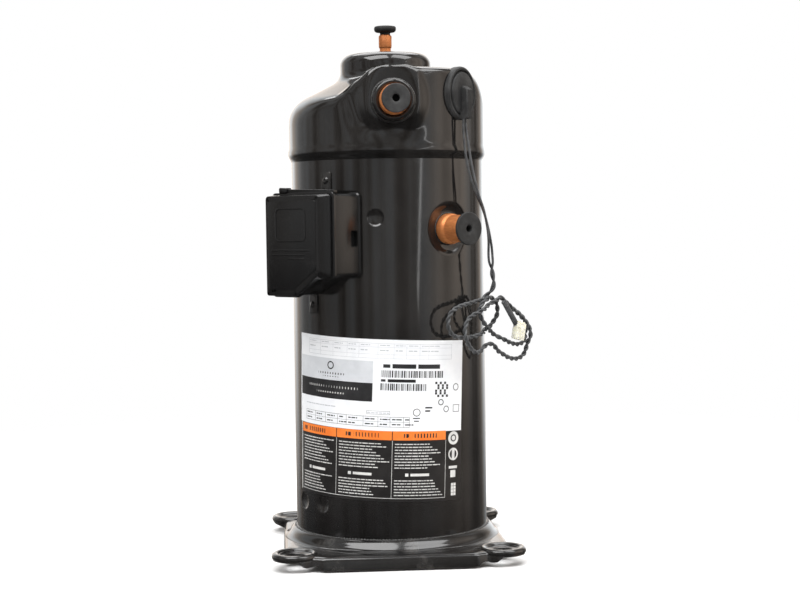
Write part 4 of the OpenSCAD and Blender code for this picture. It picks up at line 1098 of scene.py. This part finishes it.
def suction_fitting():
    """The flanged pad on the shell and the copper stub in it."""
    place = outward(*SUCTION)
    steps = ((26.0, 0), (25.7, 0), (24.8, 0.03), (23.8, 0.12), (22.6, 0.3), (21.2, 0.55), (19.8, 0.78),
             (18.4, 0.93), (17, 0.99), (14.6, 1))
    rows = []
    for r, sunk in steps:
        row = []
        for x, y in circle(r, 128):
            skin = math.sqrt(SHELL_R ** 2 - x * x)
            row.append(place @ Vector((x, y, skin + (min(PAD_FLOOR, skin) - skin) * sunk)))
        rows.append(row)
    rows += [[place @ p for p in ring_at(circle(r, 128), up)]
             for r, up in ((13.9, PAD_FLOOR), (13.9, 86.4), (26.0, 84.2))]
    Form().sheet(rows, looped=True, across=True).piece(
        "suction_pad_pressed", ENAMEL, "black_enamel", replaces=("suction_pad",))
    tube = [(SUCTION_BORE_R, 84), (13.8, 84), (13.8, 89.0), (14.1, 89.6), (14.2, 94.4), (13.9, 96.0), (13.2, 97.2),
            (12.4, 98.0), (12.25, 98.8), (12.5, 100.2), (12.6, 108), (12.45, 109.2), (12.6, 110.4), (12.6, 116.0),
            (12.2, 116.7), (11.4, 116.75), (SUCTION_BORE_R, 116.4)]
    Form().lathe(tube, place, 96, looped=True).piece(
        "suction_stub_drawn", COPPER, "copper", replaces=("suction_stub",))


def discharge_fitting():
    """The welded steel boss and the copper stub inside it."""
    place = outward(*DISCHARGE)
    boss = [(13.8, 84), (19, 84), (19, 104.2), (18.6, 105.3), (17.6, 106.1), (16.2, 106.2), (14.8, 105.8),
            (14.0, 105.0), (13.75, 103.5)]
    Form().lathe(boss, place, 96, looped=True).piece(
        "discharge_boss_turned", ENAMEL, "black_enamel", replaces=("discharge_boss",))
    tube = [(DISCHARGE_BORE_R, 94.5), (13.5, 94.5), (13.6, 116.0), (13.2, 116.8), (12.2, 117.0), (10.2, 116.9),
            (DISCHARGE_BORE_R, 116.3)]
    Form().lathe(tube, place, 96, looped=True).piece(
        "discharge_stub_drawn", COPPER, "copper", replaces=("discharge_stub",))


def unloader_fitting():
    """The small copper stub on the turret, with a swaged sleeve, and its black cap."""
    tube = [(4.0, 457), (5.35, 457), (5.35, 473.2), (5.9, 473.8), (6.2, 474.6), (6.25, 484.6), (5.9, 485.4),
            (5.3, 485.7), (5.2, 486.0), (4.3, 486.05), (4.0, 485.8)]
    Form().lathe(tube, None, 64, looped=True).piece(
        "unloader_stub_swaged", COPPER, "copper", replaces=("unloader_stub",))
    cap = [(0.001, 478), (3.2, 478), (3.7, 479.2), (3.7, 486.0), (4.9, 486.15), (4.9, 488.0), (6.5, 488.5),
           (9.0, 488.9), (10.2, 489.9), (10.6, 491.6), (10.5, 493.2), (9.9, 494.1), (8.8, 494.35), (7.6, 493.9),
           (5.0, 493.5), (0.001, 493.4)]
    Form().lathe(cap, None, 64).piece("unloader_cap_moulded", RUBBER, "black_rubber", "unloader_plug",
                                      ("unloader_cap",))


def thermistor_cover():
    """The round rubber cover over the thermistor: a rim, a disc inside it and a channel for the lead."""
    place = outward(*THERMISTOR) @ Matrix.Diagonal((0.84, 1.07, 1, 1))
    dish = [(0.001, 88), (22.6, 88), (23.1, 91), (23.1, 95.6), (22.8, 97), (21.8, 98.1), (20.4, 98.3),
            (19.7, 97.8), (19.3, 96.8), (18.8, 96.6), (18.4, 97.2), (18.0, 98.5), (17.0, 99.2), (10, 99.6),
            (0.001, 99.7)]
    form = Form().lathe(dish, place, 120)
    section = rounded([(-4.6, 88, 0), (4.6, 88, 0), (4.3, 105.6, 0.8), (3.4, 106.8, 0.8), (-3.4, 106.8, 0.8),
                       (-4.3, 105.6, 0.8)], 1, 4, True)
    rings = []
    for y, share, drop in ((7.0, 0.62, 9.5), (6.0, 0.86, 6.0), (4.2, 0.97, 2.0), (2.6, 1, 0.3), (-12, 1, 0),
                           (-20.0, 1, 0.3), (-21.6, 0.97, 0.8), (-22.4, 0.88, 2.2)):
        rings.append([Vector((p.x * share, y, 88 + (p.y - 88 - drop) * (1 if p.y > 89 else 0))) for p in section])
    form.loft(rings, place)
    form.piece("thermistor_cover_moulded", RUBBER, "black_rubber", replaces=("thermistor_cover",))


# ---- Labels ----

class Sticker:
    """A film on the shell, tilted a little: x runs along it and y down it, both in millimetres."""

    def __init__(self, azimuth, height, tilt):
        self.corner = (math.radians(azimuth) * SHELL_R, height)
        self.tilt = math.radians(tilt)

    def point(self, x, y, lift):
        along = self.corner[0] + x * math.cos(self.tilt) - y * math.sin(self.tilt)
        level = self.corner[1] - x * math.sin(self.tilt) - y * math.cos(self.tilt)
        return polar(math.degrees(along / SHELL_R), SHELL_R + lift, level)

    def patch(self, form, x0, y0, x1, y1, low, high):
        """A thin closed block that follows the shell, from low to high over it."""
        across = max(1, round((x1 - x0) / 3))
        down = max(1, round((y1 - y0) / 20))
        fronts, backs = ([[self.point(x0 + (x1 - x0) * i / across, y0 + (y1 - y0) * k / down, lift)
                           for i in range(across + 1)] for k in range(down + 1)] for lift in (high, low))
        form.sheet(fronts).sheet(backs)
        form.sheet([fronts[0], backs[0]]).sheet([fronts[-1], backs[-1]])
        for end in (0, -1):
            form.sheet([[row[end] for row in fronts], [row[end] for row in backs]])


UPPER = Sticker(-67.3, 203.0, 2.6)
LOWER = Sticker(-68.8, 118.9, 2.2)
FILM_T = 0.25
INK_T = 0.035


class Print:
    """Blocks of one ink on a sticker, as thin patches on its film."""

    def __init__(self, sticker):
        self.sticker = sticker
        self.form = Form()

    def block(self, x0, y0, x1, y1):
        self.sticker.patch(self.form, x0, y0, x1, y1, FILM_T - 0.02, FILM_T + INK_T)
        return self

    def frame(self, x0, y0, x1, y1, line=0.3):
        self.block(x0, y0, x1, y0 + line).block(x0, y1 - line, x1, y1)
        return self.block(x0, y0, x0 + line, y1).block(x1 - line, y0, x1, y1)

    def dashes(self, x0, x1, y, height, seed, ragged=0.0):
        """A row of short bars and gaps of varied lengths, which stands for a line of small print."""
        x, state = x0, seed
        while x < x1 - 1.0 - ragged:
            state = (state * 37 + 11) % 97
            length = 1.2 + 4.6 * state / 97
            self.block(x, y, min(x + length, x1), y + height)
            x += length + 0.7
        return self

    def bars(self, x0, x1, y0, y1, seed):
        """Upright bars of varied widths."""
        x, state = x0, seed
        while x < x1:
            state = (state * 29 + 17) % 83
            width = 0.35 + 0.9 * (state % 3) / 2
            self.block(x, y0, min(x + width, x1), y1)
            x += width + 0.5 + 0.5 * (state % 2)
        return self

    def disc(self, x, y, radius, hole=0.0):
        """A round spot, or a ring where it has a hole."""
        rings = []
        for r, lift in ((max(hole, 0.02), FILM_T - 0.02), (max(hole, 0.02), FILM_T + INK_T),
                        (radius, FILM_T + INK_T), (radius, FILM_T - 0.02)):
            rings.append([self.sticker.point(x + r * math.cos(math.tau * k / 32), y + r * math.sin(math.tau * k / 32),
                                             lift) for k in range(32)])
        self.form.loft(rings, looped=True)
        return self

    def done(self, name, ink, slot):
        self.form.piece(name, ink, slot, sharp=30)


def upper_sticker():
    """The white film: ruled tables, a grey and a dark panel, bars and plain marks instead of print."""
    film = Form()
    UPPER.patch(film, 0, 0, 179, 84.1, 0.0, FILM_T)
    film.piece("upper_label_film", WHITE_FILM, "label_film", replaces=("upper_label",), sharp=30)

    grey = Print(UPPER)
    grey.frame(15.4, 3.6, 165, 17.5, 0.25)
    for x in (32, 47.3, 62.5, 74.3, 92.2, 106.9, 118.6, 131.1, 139.9):
        grey.block(x, 3.6, x + 0.2, 17.5)
    for y in (7.0, 13.6):
        grey.block(15.4, y, 165, y + 0.2)
    for k, x in enumerate((17, 33.5, 49, 64, 76, 94, 108.5, 120.5, 133, 142)):
        grey.dashes(x, x + 9, 5.0, 0.7, 5 + k).dashes(x, x + 8, 9.6, 0.9, 31 + k)
    grey.dashes(12, 52, 64.2, 0.8, 3).dashes(84, 104, 67.2, 0.8, 19)
    grey.done("upper_label_grey_print", GREY_INK, "label_film")

    pale = Print(UPPER)
    pale.block(1.6, 20.2, 88.2, 40.2)
    pale.done("upper_label_panel", PALE_INK, "label_film")

    black = Print(UPPER)
    black.block(1.6, 40.4, 88.2, 57.6)
    black.block(97.5, 22.6, 104, 25.8).block(106, 22.2, 128, 26.2).block(130, 22.2, 152, 26.2)
    black.bars(95.8, 155.4, 28.2, 34.6, 12)
    black.block(95.8, 36.4, 100, 38.6).block(102, 36.2, 128, 39.0)
    black.bars(95.5, 139, 40.2, 46.6, 41)
    black.frame(11.3, 71.0, 123.3, 80.4, 0.3).block(11.3, 75.6, 123.3, 75.8)
    for x in (26.1, 39.9, 54.1, 63.4, 80.1, 94.0, 105.2, 117.5):
        black.block(x, 71.0, x + 0.25, 80.4)
    for k, x in enumerate((13, 28, 42, 56, 65.5, 82, 96, 107, 119)):
        black.dashes(x, x + (4 if k in (3, 8) else 9), 72.8, 1.1, 7 + k).dashes(x, x + 8, 77.4, 1.1, 23 + k)
    black.frame(83.3, 65.8, 105, 69.0, 0.25)
    for k in range(36):
        column, row = k % 6, k // 6
        if (k * 7 + row * 5 + column * 3) % 4 < 2:
            x, y = 147.4 + 2.4 * column, 38.2 + 2.4 * row
            black.block(x, y, x + 2.2, y + 2.2)
    black.disc(129.8, 66.5, 3.6, 2.9).block(126.4, 71.4, 133.2, 72.4).block(127.4, 74.0, 132.2, 75.0)
    black.disc(154, 57.2, 2.9, 2.1).disc(171, 43.4, 3.4, 2.7).disc(160, 63.6, 3.0, 2.3)
    black.frame(168, 59.8, 175.6, 66.6, 0.5).block(138, 61.4, 145, 62.8).block(138, 64.4, 143, 65.8)
    black.done("upper_label_black_print", BLACK_INK, "label_film")

    white = Print(UPPER)
    white.block(16, 45.6, 74, 47.6).block(28, 51.2, 60, 52.6)
    white.done("upper_label_white_print", WHITE_INK, "label_film")
    mark = Print(UPPER)
    mark.disc(45, 26.6, 3.8, 2.6).block(30, 33.2, 60, 35.0).block(36, 36.6, 54, 37.4)
    mark.done("upper_label_mark", BLACK_INK, "label_film")


def lower_sticker():
    """The dark film: an orange band in three fields, ruled columns of plain bars and four plain signs."""
    film = Form()
    LOWER.patch(film, 0, 0, 178, 66, 0.0, FILM_T - 0.03)
    film.piece("lower_label_film", DARK_FILM, "dark_label_film", replaces=("lower_label",), sharp=30)

    orange = Print(LOWER)
    for x0, x1 in ((2.6, 51.6), (52.4, 106.0), (106.8, 158.8)):
        orange.block(x0, 0.6, x1, 9.0)
    orange.done("lower_label_orange_band", ORANGE_INK, "dark_label_film")

    white = Print(LOWER)
    white.block(0, 0, 1.0, 64.6).block(2.0, 62.6, 159.2, 63.0)
    for x in (2.2, 52.0, 106.4, 158.8):
        white.block(x, 9.4, x + 0.35, 62.8)
    for column, (x0, x1) in enumerate(((6, 49), (55, 104), (109, 156))):
        for k in range(9):
            white.dashes(x0, x1 - (k * 13 + column * 7) % 17, 12.2 + 2.75 * k, 0.85, 3 + k + 11 * column)
        white.block(x0 + 10, 39.6, x0 + 13, 42.4).block(x0 + 15, 39.8, x0 + 33, 42.2)
        for k in range(6):
            white.dashes(x0, x1 - (k * 17 + column * 5) % 19, 46.0 + 2.7 * k, 0.85, 13 + k + 7 * column)
    white.disc(168, 8, 6.2, 0.02).disc(168, 23, 5.8, 4.2).block(166.4, 18, 169.6, 28)
    white.block(163, 34, 173, 36.4).block(165, 38, 171, 44.6)
    for k in range(16):
        column, row = k % 4, k // 4
        if (k * 5 + row) % 3:
            white.block(163 + 3 * column, 50 + 3 * row, 165.6 + 3 * column, 52.6 + 3 * row)
    white.done("lower_label_white_print", WHITE_INK, "dark_label_film")

    black = Print(LOWER)
    for x in (6.5, 62, 117):
        black.block(x, 3.0, x + 5.2, 6.6).block(x + 8, 2.8, x + 32, 6.8)
    black.disc(168, 8, 3.4, 2.2)
    black.done("lower_label_black_print", BLACK_INK, "dark_label_film")


# ---- Studio ----

FLOOR_LEVEL = -0.0104


def lay_floor():
    """A pale floor that fades out at its rim into the pale surroundings."""
    paper = Finish("pale_floor", Specular_IOR_Level=0.1)
    fibre = paper.noise(60, 4, 0.6)
    paper.colour(paper.blend(fibre, rgb(0.84, 0.84, 0.84), rgb(0.88, 0.88, 0.88)))
    paper.rough(0.8 + fibre * 0.1)
    across, along = paper.part("X"), paper.part("Y")
    away = (across * across + along * along) ** 0.5
    paper.feed(paper.shader.inputs["Alpha"], 1 - away.limit(0.34, 1.15))
    disc = bpy.data.meshes.new("floor")
    rings = [ring_at(circle(r, 96), FLOOR_LEVEL) for r in (0.020, 1.250)]
    disc.from_pydata(rings[0] + rings[1], [],
                     [(k, k + 96, (k + 1) % 96 + 96, (k + 1) % 96) for k in range(96)] + [tuple(range(96))])
    disc.materials.append(paper.material)
    floor = stand("floor", disc)
    floor.visible_glossy = False


def hang_sky():
    """Soft surroundings: white to the eye, and dimmer in soft upright bands for what they light."""
    world = bpy.data.worlds.new("soft_surroundings")
    sky = Shading(world, "Generated")
    bands = sky.noise(1.0, 3, 0.6, sky.stretched((3.4, 3.4, 0.35))).limit(0.36, 0.64)
    above = sky.part("Z").limit(-0.22, 0.02)
    behind = sky.part("Y").limit(0.55, 0.95)
    aside = sky.part("X").limit(0.55, 0.95) * (1 - sky.part("Y").limit(0.1, 0.5))
    seen = sky.node("ShaderNodeLightPath", output="Is Camera Ray")
    light = (0.13 + bands * 0.46 + behind * 1.3 + aside * 0.75) * (0.12 + above * 0.88)
    tint = sky.blend(bands * (1 - aside), rgb(1.0, 0.86, 0.74), rgb(0.95, 0.98, 1.0))
    shine = sky.node("ShaderNodeBackground", {}, {
        "Color": sky.blend(seen, tint, rgb(1.0, 1.0, 1.0)), "Strength": light * (1 - seen) + seen})
    output = sky.tree.nodes.new("ShaderNodeOutputWorld")
    sky.tree.links.new(shine.socket, output.inputs["Surface"])
    bpy.context.scene.world = world


def hang_lamp(name, azimuth, distance, height, size, power):
    """A soft box that looks at the middle of the compressor."""
    box = bpy.data.lights.new(name, "AREA")
    box.shape = "RECTANGLE"
    box.size, box.size_y = size
    box.energy = power
    lamp = stand(name, box)
    lamp.location = polar(azimuth, distance, height)
    lamp.rotation_euler = (Vector((0, 0, 0.22)) - lamp.location).to_track_quat("-Z", "Z").to_euler()


def stand_studio():
    lay_floor()
    hang_sky()
    hang_lamp("key_high_left", -34, 1.5, 2.3, (2.0, 1.6), 66)
    hang_lamp("fill_high_right", 50, 1.5, 2.3, (1.6, 1.4), 36)
    hang_lamp("top_behind", 178, 1.0, 2.4, (2.2, 1.6), 42)
    hang_lamp("strip_right", 40, 2.2, 0.62, (0.07, 1.3), 0.9)
    bpy.context.scene.view_settings.view_transform = "Standard"


roll_shell()
press_cap()
lay_beads()
press_base()
terminal_box()
terminal_cover()
bracket("upper_bracket_strip", UPPER_BRACKET[0], 331, 353, UPPER_BRACKET[1], "upper_bracket")
bracket("lower_bracket_strip", LOWER_BRACKET[0], 222, 241, LOWER_BRACKET[1], "lower_bracket")
bracket_screws()
suction_fitting()
plug("suction_plug_moulded", *SUCTION, SUCTION_BORE_R, 15.2, (0, 0), "suction_cap", "suction_plug")
discharge_fitting()
plug("discharge_plug_moulded", *DISCHARGE, DISCHARGE_BORE_R, 13.2, (0.9, 0.6), "discharge_cap", "discharge_plug")
unloader_fitting()
thermistor_cover()
upper_sticker()
lower_sticker()
stand_studio()
